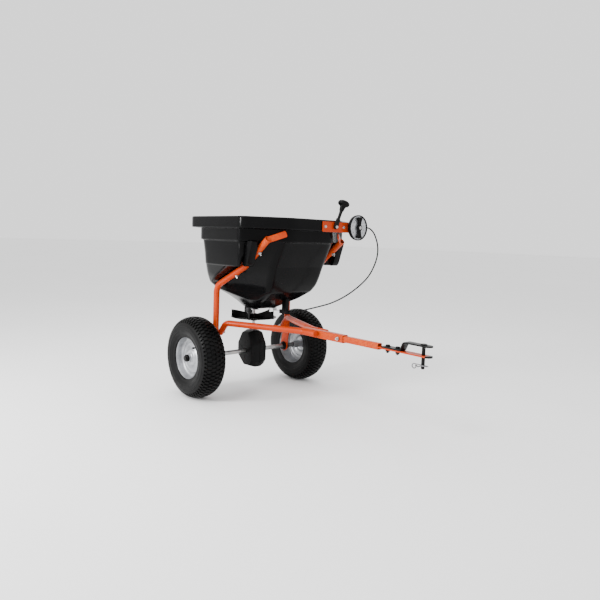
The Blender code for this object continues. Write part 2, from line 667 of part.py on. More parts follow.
def hopper_outline(level, rear, flank, pod, front):
    """Half outline from the rear to the front as (x, y) corners, mirrored to a full loop.

    rear and front are the ends' corners, flank is the rear corner of the side wall and
    pod is the front corner of the side pod. The ledge makes room for the hopper post.
    """
    ledge = ledge_x(level)
    return closed_loop([rear, flank, pod, (min(pod[0], ledge + 0.030), POST_Y + 0.0205),
                        (ledge, POST_Y + 0.0145), (ledge, POST_Y - 0.0145), front])


def closed_loop(half):
    """Mirror a half outline, given from the rear to the front, to a full loop."""
    return list(half) + [(x, -y) for x, y in reversed(half)]


def hopper_sections():
    """Outer sections of the tub from the discharge floor up to the rim, as (level, loop)."""
    sections = [(level, closed_loop(half)) for level, half in FUNNEL]
    sections += [(level, hopper_outline(level, *corners)) for level, *corners in BODY]
    sections.append((STEP_BOTTOM - 0.004, closed_loop(BODY_TOP)))
    sections += [(STEP_BOTTOM, closed_loop(STEP)), (RIM_BOTTOM - 0.003, closed_loop(STEP))]
    sections += [(RIM_BOTTOM, closed_loop(RIM)), (RIM_TOP, closed_loop(RIM))]
    return sections


def make_hopper():
    """Tub lofted through the sections, thickened inwards, with a discharge slot in its floor."""
    bm = bmesh.new()
    rings = []
    for level, outline in hopper_sections():
        rings.append([bm.verts.new((x, y, level)) for x, y in outline])
    bm.faces.new(rings[0])
    count = len(rings[0])
    for lower, upper in zip(rings, rings[1:]):
        for i in range(count):
            j = (i + 1) % count
            bm.faces.new((lower[j], lower[i], upper[i], upper[j]))
    skin = bpy.data.meshes.new("hopper")
    bm.to_mesh(skin)
    bm.free()
    holder = hold("skin", skin)
    shell = holder.modifiers.new("wall", "SOLIDIFY")
    shell.thickness = HOPPER_WALL
    shell.offset = -1
    tub = bake(holder)
    slot = box_mesh("slot", (0.030, -0.032, FLOOR_Z - 0.01), (0.080, 0.032, FLOOR_Z + 0.02))
    shaft = rod_mesh("shaft", (0, SHAFT_Y, FLOOR_Z - 0.01), (0, SHAFT_Y, FLOOR_Z + 0.02),
                     SHAFT_RADIUS + 0.001, 20)
    add_part("hopper", combine(tub, [slot, shaft], "DIFFERENCE"), "black_plastic")


def post_frame(side, x):
    """A point on the sloping part of a hopper post, its direction and its underside normal."""
    low, bend, high = (Vector(corner) for corner in POST_SLOPE)
    start, end = (low, bend) if x < bend[0] else (bend, high)
    share = (x - start[0]) / (end[0] - start[0])
    point = start.lerp(end, share)
    along = (end - start).normalized()
    return Vector((point[0], side * POST_Y, point[1])), Vector((along[1], 0, -along[0]))


def make_hopper_bolts():
    """Nuts of the bolts that hold the tub, seen under each post, and the head bolt at its top."""
    for side_name, side in SIDES:
        for label, x in (("rear", 0.145), ("middle", 0.285)):
            point, down = post_frame(side, x)
            near = point + down * (TUBE_RADIUS + 0.0006)
            nut = hexagon_rod("nut", near, near + down * 0.0055, 0.011)
            stub = rod_mesh("stub", near, near + down * 0.011, 0.0032, 10)
            add_part(f"hopper_bolt_{label}_{side_name}", combine(nut, [stub], "UNION"), "zinc")


def make_gate():
    """Sliding shut-off plate under the floor, its two rails and the cable anchor."""
    top = FLOOR_Z - GAP
    under = top - GATE_THICKNESS
    plate = box_mesh("plate", (GATE_START, -GATE_HALF_WIDTH, under), (GATE_END, GATE_HALF_WIDTH, top))
    tab = box_mesh("tab", (GATE_END - 0.001, GATE_TAB_Y[0], under), (GATE_TAB_END, GATE_TAB_Y[1], top))
    lug = box_mesh("lug", (GATE_TAB_END - 0.003, GATE_TAB_Y[0], top - 0.012),
                   (GATE_TAB_END, GATE_TAB_Y[1], top))
    wire = rod_mesh("wire", (0.1205, CABLE_Y, CABLE_END_Z), (WIRE_END_X, CABLE_Y, CABLE_END_Z),
                    WIRE_RADIUS, 10)
    add_part("gate_plate", combine(plate, [tab, lug, wire], "UNION"), "zinc")
    for side_name, side in SIDES:
        edge = side * (GATE_HALF_WIDTH + GAP)
        back = edge + side * RAIL_WIDTH
        foot = top - RAIL_DEPTH
        web = box_mesh("web", *ordered((GATE_START, edge, foot), (GATE_END, back, top)))
        lip = box_mesh("lip", *ordered((GATE_START, edge - side * RAIL_DEPTH, foot),
                                       (GATE_END, back, under - GAP)))
        add_part(f"gate_rail_{side_name}", combine(web, [lip], "UNION"), "black_plastic")
    anchor = box_mesh("anchor", (0.162, 0.020, 0.345), (0.214, 0.042, 0.361))
    rear_top, front_top = (0.176, 0.3960), (0.200, 0.4070)
    stem = outline_mesh("stem", [(0.176, 0.360), (0.200, 0.360), front_top, rear_top], 0.022, 0.040)
    anchor = combine(anchor, [stem], "UNION")
    jacket_seat = rod_mesh("seat", (CABLE_END_X - GAP, CABLE_Y, CABLE_END_Z), (0.23, CABLE_Y, CABLE_END_Z),
                           CABLE_RADIUS + 3 * GAP, 12)
    bore = rod_mesh("bore", (0.15, CABLE_Y, CABLE_END_Z), (0.22, CABLE_Y, CABLE_END_Z),
                    WIRE_RADIUS + GAP, 12)
    add_part("cable_anchor", combine(anchor, [jacket_seat, bore], "DIFFERENCE"), "black_plastic")


def ordered(a, b):
    return tuple(map(min, a, b)), tuple(map(max, a, b))


# Controls

def make_control_bracket():
    """Folded plate on the front of the rim that carries the lever and the dial."""
    plate = box_mesh("plate", (PLATE_X - 0.003, 0.028, 0.684), (PLATE_X, 0.235, 0.7235))
    seat = box_mesh("seat", (PLATE_X - 0.001, DIAL[1] - 0.02, DIAL[2] - 0.016),
                    (DIAL[0] - GAP, DIAL[1] + 0.02, DIAL[2] + 0.016))
    add_part("control_bracket", combine(plate, [seat], "UNION"), "orange")
    level = PIVOT[2]
    for label, y in (("right", 0.042), ("left", 0.142)):
        bolt = hexagon_rod("bolt", (PLATE_X + GAP, y, level), (PLATE_X + 0.0055, y, level), 0.011)
        add_part(f"bracket_bolt_{label}", bolt, "zinc")


def make_lever():
    """Folded lever arm on its pivot, a round rod and a mushroom knob."""
    lean = Matrix.Rotation(-LEVER_LEAN, 4, "X")
    thickness = 0.004
    half = 0.009
    plan = [(-half, 0.0), *arc((0, 0), half, 180, 360, 8)[1:-1], (half, 0.0), (half, 0.034), (-half, 0.034)]
    arm = outline_mesh("arm", plan, -thickness, thickness, "YZ")
    bore = rod_mesh("bore", (-0.02, 0, 0), (0.02, 0, 0), 0.0042 + GAP, 16)
    rod = rod_mesh("rod", (0, 0, 0.028), (0, 0, KNOB_DISTANCE - 0.006), 0.0042, 14)
    arm = combine(combine(arm, [bore], "DIFFERENCE"), [rod], "UNION")
    arm.transform(lean)
    add_part("flow_lever", arm, "black_steel", PIVOT)
    top = KNOB_DISTANCE
    mushroom = [(0.0045, top - 0.024), (0.010, top - 0.022), (0.011, top - 0.012), (0.021, top - 0.006),
                (0.0235, top + 0.002), (0.020, top + 0.009), (0.008, top + 0.0125), (0.0005, top + 0.013),
                (0.0005, top - 0.005), (0.0045, top - 0.0055)]
    knob = turned_mesh("knob", mushroom, 18, "Z")
    knob.transform(lean)
    add_part("lever_knob", knob, "black_plastic", PIVOT)
    shank_start = PLATE_X + GAP - PIVOT[0]
    shank = rod_mesh("shank", (shank_start, 0, 0), (0.0055, 0, 0), 0.0042, 16)
    head = hexagon_rod("head", (0.0045, 0, 0), (0.0095, 0, 0), 0.012)
    add_part("lever_pivot_bolt", combine(shank, [head], "UNION"), "zinc", PIVOT)


def make_dial():
    """Round housing, graduated face ring and a bow-tie knob on a centre screw."""
    back, front = 0.0, DIAL_DEPTH
    wall = DIAL_RADIUS - 0.003
    cup = turned_mesh("cup", [(0.0045, back), (DIAL_RADIUS - 0.004, back), (DIAL_RADIUS, back + 0.004),
                              (DIAL_RADIUS, front), (wall, front), (wall, front - 0.005),
                              (0.0045, front - 0.005)], 28, "Z")
    face = turned_mesh("face", [(0.0045, front - 0.005 + GAP), (wall - 0.0004, front - 0.005 + GAP),
                                (wall - 0.0004, front - 0.0035), (0.0045, front - 0.0035)], 28, "Z")
    low, high = front - 0.0035 + GAP, front + 0.007
    knob = turned_mesh("knob", [(0.0041, low), (0.012, low), (0.012, high), (0.0041, high)], 24, "Z")
    wings = []
    for end in (-1, 1):
        wing = [(0.008 * end, -0.006), (0.040 * end, -0.014), (0.0425 * end, 0), (0.040 * end, 0.014),
                (0.008 * end, 0.006)]
        wings.append(outline_mesh("wing", wing, low + 0.0005, high - 0.0015, "XY"))
    knob = combine(knob, wings, "UNION")
    screw = rod_mesh("screw", (0, 0, 0.001), (0, 0, front + 0.0075), 0.0038, 16)
    head = rod_mesh("head", (0, 0, front + 0.007 + GAP), (0, 0, front + 0.010), 0.0068, 16)
    upright = (0, math.pi / 2, 0)
    add_part("dial_housing", cup, "black_plastic", DIAL, upright)
    add_part("dial_face", face, "dial_face", DIAL, upright)
    add_part("dial_knob", knob, "black_plastic", DIAL, upright)
    add_part("dial_screw", combine(screw, [head], "UNION"), "zinc", DIAL, upright)


def smooth_route(points, per_span):
    """Catmull-Rom curve through the route's points."""
    points = [Vector(point) for point in points]
    ends = [2 * points[0] - points[1], *points, 2 * points[-1] - points[-2]]
    route = []
    for a, b, c, d in zip(ends, ends[1:], ends[2:], ends[3:]):
        for step in range(per_span):
            t = step / per_span
            route.append(0.5 * (2 * b + (c - a) * t + (2 * a - 5 * b + 4 * c - d) * t * t
                                + (3 * b - a - 3 * c + d) * t ** 3))
    route.append(points[-1])
    return route


CABLE_ROUTE = (
    (0.4105, 0.2555, 0.7065), (0.4110, 0.2700, 0.7060), (0.4150, 0.2850, 0.6980), (0.4240, 0.2960, 0.6780),
    (0.4360, 0.3010, 0.6400), (0.4440, 0.2940, 0.6000), (0.4460, 0.2750, 0.5560), (0.4370, 0.2500, 0.5100),
    (0.4160, 0.2150, 0.4680), (0.3840, 0.1750, 0.4290), (0.3450, 0.1370, 0.4000), (0.3000, 0.0980, 0.3800),
    (0.2680, 0.0700, 0.3680), (0.2450, 0.0490, 0.3600), (0.2300, 0.0370, 0.3552),
    (0.2170, CABLE_Y, CABLE_END_Z), (CABLE_END_X, CABLE_Y, CABLE_END_Z))


def make_cable():
    """Bowden cable from the dial housing round to the gate."""
    jacket = curve_mesh("cable", smooth_route(CABLE_ROUTE, 2), CABLE_RADIUS, 2)
    add_part("control_cable", jacket, "black_plastic")


clear_scene()
PARTS = make_collection("garden_spreader")
CUTTERS = make_collection("cutters")
ROOT = bpy.data.objects.new("spreader_origin", None)
PARTS.objects.link(ROOT)
ROOT.location = (AXLE_X, 0, 0)

for name_of_side, sign in SIDES:
    make_wheel(name_of_side, sign)
    make_hopper_post(name_of_side, sign)
    make_drawbar_tube(name_of_side, sign)
    make_axle_bearing(name_of_side, sign)
make_axle()
make_tongue()
make_hitch()
make_gear_case()
make_drive_gear()
make_spinner()
make_hopper()
make_hopper_bolts()
make_gate()
make_control_bracket()
make_lever()
make_dial()
make_cable()
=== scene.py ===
"""Looks of the tow-behind garden spreader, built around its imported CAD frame.

Lengths are metres in the row frame: +X towards the hitch, +Y to the left of travel, +Z up.
Shapes are drawn about the axle line, as the machine is measured, and moved back by AXLE_X.
"""
import json
from math import atan, cos, pi, radians, sin, tan

import bmesh
import bpy
from mathutils import Matrix, Vector

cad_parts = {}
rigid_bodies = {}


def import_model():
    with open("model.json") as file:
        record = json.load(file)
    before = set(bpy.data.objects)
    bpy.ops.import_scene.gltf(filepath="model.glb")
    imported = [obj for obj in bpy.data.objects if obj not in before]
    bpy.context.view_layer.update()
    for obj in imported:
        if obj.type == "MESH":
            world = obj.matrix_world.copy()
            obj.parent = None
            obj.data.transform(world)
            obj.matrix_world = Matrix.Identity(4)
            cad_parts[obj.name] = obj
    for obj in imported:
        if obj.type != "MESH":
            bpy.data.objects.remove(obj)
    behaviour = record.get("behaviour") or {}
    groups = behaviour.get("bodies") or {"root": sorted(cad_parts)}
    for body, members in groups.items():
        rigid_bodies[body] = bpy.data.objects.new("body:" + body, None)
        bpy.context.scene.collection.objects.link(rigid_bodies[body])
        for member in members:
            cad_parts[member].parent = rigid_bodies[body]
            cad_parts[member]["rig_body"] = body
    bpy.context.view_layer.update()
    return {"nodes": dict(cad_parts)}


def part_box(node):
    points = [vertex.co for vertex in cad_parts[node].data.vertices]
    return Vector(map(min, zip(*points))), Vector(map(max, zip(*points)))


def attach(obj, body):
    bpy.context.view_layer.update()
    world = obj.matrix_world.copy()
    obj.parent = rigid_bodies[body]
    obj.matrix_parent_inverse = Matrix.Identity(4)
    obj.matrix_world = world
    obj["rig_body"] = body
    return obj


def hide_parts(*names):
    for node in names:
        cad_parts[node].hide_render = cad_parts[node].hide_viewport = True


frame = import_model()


def middle(node):
    low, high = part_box(node)
    return (low + high) / 2


def faces(node, side):
    """Where a node's inner and outer faces are across the machine."""
    low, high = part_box(node)
    return (low.y, high.y) if side > 0 else (high.y, low.y)


AXLE_X = middle("axle").x
AXLE_Z = middle("axle").z
SIDES = (("right", -1), ("left", 1))
GAP = 0.0003

# The view of the level machine: the eye and the camera's own axes
EYE = Vector((1.58439, -1.50867, 0.65771))
EYE_RIGHT = Vector((0.66961555, 0.74193285, 0.03392126))
EYE_UP = Vector((-0.10233517, 0.04693096, 0.99364229))
LENS = 34.51
SENSOR = 36.0

# Control cable, as routed in the CAD source, about the axle line
CABLE_RADIUS = 0.0029
CABLE_ROUTE = (
    (0.4105, 0.2555, 0.7065), (0.411, 0.27, 0.706), (0.415, 0.285, 0.698), (0.424, 0.296, 0.678),
    (0.436, 0.301, 0.64), (0.444, 0.294, 0.6), (0.446, 0.275, 0.556), (0.437, 0.25, 0.51),
    (0.416, 0.215, 0.468), (0.384, 0.175, 0.429), (0.345, 0.137, 0.4), (0.3, 0.098, 0.38),
    (0.268, 0.07, 0.368), (0.245, 0.049, 0.36), (0.23, 0.037, 0.3552), (0.217, 0.031, 0.3535),
    (0.206, 0.031, 0.3535))


# Paths and outlines

def smooth_route(points, per_span):
    """Catmull-Rom curve through the points."""
    points = [Vector(point) for point in points]
    ends = [2 * points[0] - points[1], *points, 2 * points[-1] - points[-2]]
    route = []
    for a, b, c, d in zip(ends, ends[1:], ends[2:], ends[3:]):
        for step in range(per_span):
            t = step / per_span
            route.append(0.5 * (2 * b + (c - a) * t + (2 * a - 5 * b + 4 * c - d) * t * t
                                + (3 * b - a - 3 * c + d) * t ** 3))
    return [*route, points[-1]]


def fillet(points, radius, steps=4, closed=True):
    """Round a path's corners; radius is one trim length for all of them, or a list with one each."""
    points = [Vector(point) for point in points]
    count = len(points)
    rounded = []
    for i, corner in enumerate(points):
        if not closed and i in (0, count - 1):
            rounded.append(corner)
            continue
        reach = radius[i] if isinstance(radius, (list, tuple)) else radius
        before, after = points[i - 1] - corner, points[(i + 1) % count] - corner
        start = corner + before * min(0.45, reach / max(before.length, 1e-9))
        end = corner + after * min(0.45, reach / max(after.length, 1e-9))
        for step in range(steps + 1):
            t = step / steps
            rounded.append(start * (1 - t) ** 2 + corner * 2 * t * (1 - t) + end * t * t)
    return rounded


def rounded_path(points, radius, steps=12):
    """Replace each inner corner of a path with a true arc of the given bend radius."""
    points = [Vector(point) for point in points]
    path = [points[0]]
    for before, corner, after in zip(points, points[1:], points[2:]):
        inward, outward = (before - corner).normalized(), (after - corner).normalized()
        half = inward.angle(outward) / 2
        trim = radius / tan(half)
        centre = corner + (inward + outward).normalized() * (radius / sin(half))
        first, last = corner + inward * trim - centre, corner + outward * trim - centre
        for step in range(steps + 1):
            path.append(centre + first.slerp(last, step / steps).normalized() * radius)
    path.append(points[-1])
    return path


def arc(centre, radius, start, end, steps):
    """Points on an arc, angles in degrees."""
    points = []
    for step in range(steps + 1):
        angle = radians(start + (end - start) * step / steps)
        points.append((centre[0] + radius * cos(angle), centre[1] + radius * sin(angle)))
    return points


def inset(outline, distance):
    """Move a closed plan outline inwards by a distance; it runs with its inside on the right."""
    shrunk = []
    for i, point in enumerate(outline):
        along = outline[(i + 1) % len(outline)] - outline[i - 1]
        normal = Vector((along.y, -along.x, 0)).normalized()
        shrunk.append(point + normal * distance)
    return shrunk


# Meshes

def linked(name, data):
    """A new object in the scene."""
    holder = bpy.data.objects.new(name, data)
    bpy.context.scene.collection.objects.link(holder)
    return holder


def towards(start, end):
    """Moves what is drawn up the Z axis to a start point and turns it towards an end point."""
    turn = (end - start).to_track_quat("Z", "Y").to_matrix().to_4x4()
    return Matrix.Translation(start) @ turn


def mesh_of(bm, name="shape"):
    """Turn a bmesh into a mesh, with doubled points and loose edges removed."""
    bmesh.ops.remove_doubles(bm, verts=bm.verts, dist=0.000002)
    bmesh.ops.delete(bm, geom=[edge for edge in bm.edges if not edge.link_faces], context="EDGES")
    bmesh.ops.delete(bm, geom=[vert for vert in bm.verts if not vert.link_faces], context="VERTS")
    bmesh.ops.recalc_face_normals(bm, faces=bm.faces)
    mesh = bpy.data.meshes.new(name)
    bm.to_mesh(mesh)
    bm.free()
    return mesh


def turned(profile, steps=96, axis="Y"):
    """Spin a closed (radius, height) profile once round the axis."""
    bm = bmesh.new()
    verts = [bm.verts.new((radius, height, 0) if axis == "Y" else (radius, 0, height))
             for radius, height in profile]
    edges = [bm.edges.new(pair) for pair in zip(verts, verts[1:] + verts[:1])]
    about = (0, 1, 0) if axis == "Y" else (0, 0, 1)
    bmesh.ops.spin(bm, geom=verts + edges, axis=about, cent=(0, 0, 0), angle=2 * pi,
                   steps=steps, use_merge=True)
    return mesh_of(bm)


def lathe(profile, radius=0.0008, sides=64, axis="Z", steps=3):
    """A turned profile with its corners rounded, but for those on the axis."""
    reach = [radius if point[0] > 0 else 0 for point in profile]
    return turned(fillet(profile, reach, steps), sides, axis)


def loft(rings, closed=False):
    """A skin over closed rings of points, its ends filled or, when closed, the last joined to the first."""
    bm = bmesh.new()
    rings = [[bm.verts.new(point) for point in ring] for ring in rings]
    if closed:
        rings.append(rings[0])
    else:
        bm.faces.new(rings[0])
        bm.faces.new(rings[-1])
    for first, second in zip(rings, rings[1:]):
        for i, corner in enumerate(first):
            j = (i + 1) % len(first)
            bm.faces.new((corner, first[j], second[j], second[i]))
    return mesh_of(bm)


def prism(outline, low, high, plane="XZ"):
    """Extrude a flat outline between two levels along the plane's normal."""
    order = {"XZ": (0, 2, 1), "YZ": (2, 0, 1), "XY": (0, 1, 2)}[plane]
    return loft([[[(point[0], point[1], level)[i] for i in order] for point in outline]
                 for level in (low, high)])


def block(low, high):
    low, high = Vector(low), Vector(high)
    bm = bmesh.new()
    bmesh.ops.create_cube(bm, size=1.0)
    bmesh.ops.scale(bm, vec=high - low, verts=bm.verts)
    bmesh.ops.translate(bm, vec=(low + high) / 2, verts=bm.verts)
    return mesh_of(bm)


def rod(start, end, radius, sides=32, edge=0.0):
    """A round bar between two points, its rims chamfered by edge."""
    start, end = Vector(start), Vector(end)
    length = (end - start).length
    profile = [(0, 0), (radius - edge, 0), (radius, edge), (radius, length - edge), (radius - edge, length),
               (0, length)]
    return moved(turned(profile, sides, "Z"), towards(start, end))


def swept(path, radius, resolution=6, hollow=0.0):
    """A bar along a path or, with a wall thickness, an open tube."""
    curve = curve_along(path, radius, resolution)
    curve.use_fill_caps = not hollow
    holder = linked("swept", curve)
    if hollow:
        wall = holder.modifiers.new("wall", "SOLIDIFY")
        wall.thickness = hollow
        wall.offset = -1
    bm = bmesh.new()
    bm.from_mesh(made(holder))
    return mesh_of(bm)


def curve_along(path, radius, resolution):
    """A round curve object's data through the points of a path."""
    curve = bpy.data.curves.new("path", "CURVE")
    curve.dimensions = "3D"
    curve.bevel_depth = radius
    curve.bevel_resolution = resolution
    curve.use_fill_caps = True
    spline = curve.splines.new("POLY")
    spline.points.add(len(path) - 1)
    for target, point in zip(spline.points, path):
        target.co = (*point, 1.0)
    return curve


def made(holder):
    """The evaluated mesh of a temporary object, which is removed."""
    bpy.context.view_layer.update()
    mesh = bpy.data.meshes.new_from_object(holder.evaluated_get(bpy.context.evaluated_depsgraph_get()))
    bpy.data.objects.remove(holder, do_unlink=True)
    return mesh


def bevelled(mesh, width=0.0008, segments=2, angle=28):
    """The mesh with its edges sharper than an angle rounded."""
    holder = linked("bevelled", mesh)
    bevel = holder.modifiers.new("bevel", "BEVEL")
    bevel.width = width
    bevel.segments = segments
    bevel.limit_method = "ANGLE"
    bevel.angle_limit = radians(angle)
    bevel.harden_normals = False
    return made(holder)


def cut(mesh, tools, operation="DIFFERENCE"):
    """The mesh with closed tool meshes cut from it, or another Boolean operation."""
    holder = linked("cut", mesh)
    others = [linked("tool", tool) for tool in tools]
    for other in others:
        step = holder.modifiers.new("step", "BOOLEAN")
        step.operation = operation
        step.object = other
    result = made(holder)
    for other in others:
        bpy.data.objects.remove(other, do_unlink=True)
    return result


def joined(meshes):
    """Several closed shapes as one mesh."""
    bm = bmesh.new()
    for mesh in meshes:
        bm.from_mesh(mesh)
    mesh = bpy.data.meshes.new("joined")
    bm.to_mesh(mesh)
    bm.free()
    return mesh


def moved(mesh, matrix):
    mesh.transform(matrix)
    return mesh


def hexagon(start, end, across, edge=0.0007):
    """A hexagon head or nut with its outer corners chamfered."""
    start, end = Vector(start), Vector(end)
    length = (end - start).length
    corner = across / 2 / cos(pi / 6)
    outline = [(corner * cos(radians(60 * i)), corner * sin(radians(60 * i)))
               for i in range(6)]
    body = prism(outline, 0, length, "XY")
    dome = turned([(0, -0.001), (corner + 0.001, -0.001), (corner + 0.001, length - 2.2 * edge),
                   (corner - 2.2 * edge, length), (0, length)], 48, "Z")
    return moved(bevelled(cut(body, [dome], "INTERSECT"), edge * 0.4, 2), towards(start, end))


def washer_and_head(face, way, washer, radius, top, across, sides=32):
    """A washer on a face and a hexagon head or nut over it, up to a height, facing a direction."""
    face, way = Vector(face), Vector(way)
    rim = face + way * washer
    return [rod(face, rim, radius, sides, edge=0.0003), hexagon(rim, face + way * top, across)]


def refined(node, width=0.0008, segments=3):
    """A copy of a flat-sided CAD node with its flats cleaned up and its edges rounded."""
    bm = bmesh.new()
    bm.from_mesh(frame["nodes"][node].data)
    bmesh.ops.remove_doubles(bm, verts=bm.verts, dist=0.00002)
    bmesh.ops.dissolve_limit(bm, angle_limit=radians(1.5), verts=bm.verts, edges=bm.edges)
    bmesh.ops.translate(bm, vec=(-AXLE_X, 0, 0), verts=bm.verts)
    return bevelled(mesh_of(bm), width, segments)


# Materials

def filled(tree, node, inputs):
    """Set a node's inputs; each value is a number, a colour or another node's output."""
    for key, value in inputs.items():
        if isinstance(value, bpy.types.NodeSocket):
            tree.links.new(value, node.inputs[key])
        else:
            node.inputs[key].default_value = (*value, 1.0) if isinstance(value, tuple) else value
    return node


def noise(tree, source, scale, detail, roughness):
    inputs = {"Vector": source, "Scale": scale, "Detail": detail, "Roughness": roughness}
    return filled(tree, tree.nodes.new("ShaderNodeTexNoise"), inputs).outputs["Fac"]


def spread(tree, value, low, high, to_low, to_high):
    """Map a share between two limits to another pair, clamped."""
    inputs = {"Value": value, "From Min": low, "From Max": high, "To Min": to_low, "To Max": to_high}
    return filled(tree, tree.nodes.new("ShaderNodeMapRange"), inputs).outputs["Result"]


def mixed(tree, share, first, second):
    """Blend two colours, each a tuple or another node's output, by a share."""
    mix = tree.nodes.new("ShaderNodeMix")
    mix.data_type = "RGBA"
    return filled(tree, mix, {0: share, 6: first, 7: second}).outputs[2]


def surface(name, colour, tone, rough, metallic=0.0, grain=(900.0, 0.00012), blotch=14.0,
            coat=0.0, specular=0.5, wear=None, dust=None):
    """A moulded, painted or plated surface.

    colour and tone are its two shades, mixed in blotches. rough is its lowest and highest roughness.
    grain is its bump's scale and height. wear is the colour that shows where an edge is rubbed,
    and dust the colour that gathers in patches.
    """
    material = bpy.data.materials.new(name)
    material.use_nodes = True
    tree = material.node_tree
    shader = filled(tree, tree.nodes["Principled BSDF"], {
        "Metallic": metallic, "Coat Weight": coat, "Coat Roughness": 0.18, "Specular IOR Level": specular})
    place = tree.nodes.new("ShaderNodeTexCoord").outputs["Object"]
    patches = noise(tree, place, blotch, 6.0, 0.6)
    base = mixed(tree, spread(tree, patches, 0.35, 0.65, 0.0, 1.0), colour, tone)
    if dust:
        film = spread(tree, noise(tree, place, blotch * 2.6, 8.0, 0.7), 0.52, 0.72, 0.0, 0.55)
        base = mixed(tree, film, base, dust)
    if wear:
        edge = tree.nodes.new("ShaderNodeNewGeometry").outputs["Pointiness"]
        rubbed = spread(tree, edge, 0.535, 0.6, 0.0, 0.7)
        scatter = spread(tree, noise(tree, place, 160.0, 6.0, 0.7), 0.45, 0.6, 0.0, 1.0)
        both = tree.nodes.new("ShaderNodeMath")
        both.operation = "MULTIPLY"
        filled(tree, both, {0: rubbed, 1: scatter})
        base = mixed(tree, both.outputs[0], base, wear)
    bump = filled(tree, tree.nodes.new("ShaderNodeBump"), {
        "Distance": grain[1], "Strength": 0.6, "Height": noise(tree, place, grain[0], 3.0, 0.5)})
    gloss = spread(tree, noise(tree, place, blotch * 5, 5.0, 0.55), 0.3, 0.7, *rough)
    filled(tree, shader, {"Base Color": base, "Roughness": gloss, "Normal": bump.outputs["Normal"]})
    return material


FINISHES = {
    "orange_paint": dict(colour=(0.43, 0.034, 0.0004), tone=(0.37, 0.027, 0.0003), rough=(0.26, 0.4),
        grain=(700.0, 0.00008), coat=0.04, specular=0.14, wear=(0.52, 0.08, 0.006)),
    "hopper_plastic": dict(colour=(0.0022, 0.0022, 0.0024), tone=(0.0032, 0.0032, 0.0034),
        rough=(0.16, 0.24), grain=(1300.0, 0.00003), blotch=7.0, specular=0.06, wear=(0.01, 0.01, 0.011)),
    "black_plastic": dict(colour=(0.0026, 0.0026, 0.0028), tone=(0.004, 0.004, 0.0042),
        rough=(0.26, 0.4), grain=(1600.0, 0.00004), specular=0.07, wear=(0.012, 0.012, 0.013)),
    "tyre_rubber": dict(colour=(0.0034, 0.0034, 0.0036), tone=(0.0052, 0.0051, 0.005), rough=(0.3, 0.5),
        grain=(850.0, 0.00012), blotch=18.0, specular=0.07, dust=(0.009, 0.0088, 0.0085)),
    "rim_steel": dict(colour=(0.3, 0.305, 0.32), tone=(0.42, 0.43, 0.445), rough=(0.3, 0.46),
        metallic=0.75, grain=(420.0, 0.00014), blotch=30.0, dust=(0.2, 0.2, 0.2)),
    "zinc": dict(colour=(0.36, 0.36, 0.37), tone=(0.46, 0.455, 0.44), rough=(0.26, 0.42), metallic=0.95,
        grain=(1200.0, 0.00005), blotch=60.0),
    "black_steel": dict(colour=(0.003, 0.003, 0.0031), tone=(0.005, 0.0048, 0.0046), rough=(0.26, 0.42),
        grain=(900.0, 0.00008), specular=0.1, wear=(0.035, 0.032, 0.03)),
    "spring_steel": dict(colour=(0.11, 0.11, 0.12), tone=(0.17, 0.17, 0.18), rough=(0.3, 0.45),
        metallic=0.95, grain=(1200.0, 0.00005), blotch=60.0),
    "dial_silver": dict(colour=(0.4, 0.41, 0.43), tone=(0.52, 0.53, 0.55), rough=(0.24, 0.34),
        metallic=0.8, grain=(1500.0, 0.00003), blotch=40.0),
    "cable_jacket": dict(colour=(0.003, 0.003, 0.0032), tone=(0.005, 0.005, 0.0052), rough=(0.36, 0.48),
        grain=(1500.0, 0.00006), blotch=40.0, specular=0.1),
}
LOOKS = {name: surface(name, **finish) for name, finish in FINISHES.items()}


# Pieces

def place_piece(name, data, look, body, nodes=(), smooth=30):
    """Turn a mesh drawn about the axle line into a shown piece that rides on a body."""
    piece = linked(name, data)
    data.materials.clear()
    data.materials.append(LOOKS[look])
    if piece.type == "MESH":
        data.transform(Matrix.Translation((AXLE_X, 0, 0)))
        data.shade_smooth()
        data.set_sharp_from_angle(angle=radians(smooth))
    else:
        piece.location.x = AXLE_X
    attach(piece, body)
    if nodes:
        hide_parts(*nodes)
    return piece


def fine(node, mesh, look, smooth=30):
    """A detailed piece that stands for one CAD node and rides with it."""
    body = frame["nodes"][node]["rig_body"]
    return place_piece(f"{node}.fine", mesh, look, body, [node], smooth)


def keep(node, look):
    """A CAD node that is shown as it is, with a finished material."""
    slots = frame["nodes"][node].data.materials
    slots.clear()
    slots.append(LOOKS[look])


# Camera and cable

def make_camera():
    """Camera at the eye, turned to match the machine standing level."""
    camera = linked("camera", bpy.data.cameras.new("camera"))
    camera.data.lens = LENS
    camera.data.sensor_width = SENSOR
    back = EYE_RIGHT.cross(EYE_UP)
    axes = Matrix((EYE_RIGHT, EYE_UP, back)).transposed().to_4x4()
    camera.matrix_world = Matrix.Translation(EYE) @ axes
    bpy.context.scene.camera = camera


def make_cable():
    """Outer jacket of the control cable, from the dial housing round to the gate."""
    route = smooth_route(CABLE_ROUTE, 8)
    cable = place_piece("control_cable.fine", curve_along(route, CABLE_RADIUS, 4), "cable_jacket", "frame",
                        ["control_cable"])


make_camera()
make_cable()


# Wheels: profiles are drawn with the outer side facing -Y and flipped for the left wheel

# Tread blocks in a row, their height, and the shares of the pitch that a block's sloping side and length take
LUGS = 60
LUG_DEPTH = 0.0056
LUG_SLOPE = 0.05
LUG_SHARE = 0.6
# Half of the tyre's outside as (radius, y), from the middle of the tread to the bead
CROWN = ((0.165, 0.0), (0.1638, 0.012), (0.1608, 0.026), (0.1545, 0.038), (0.1455, 0.0465), (0.133, 0.051),
         (0.118, 0.052), (0.104, 0.05), (0.096, 0.0465))
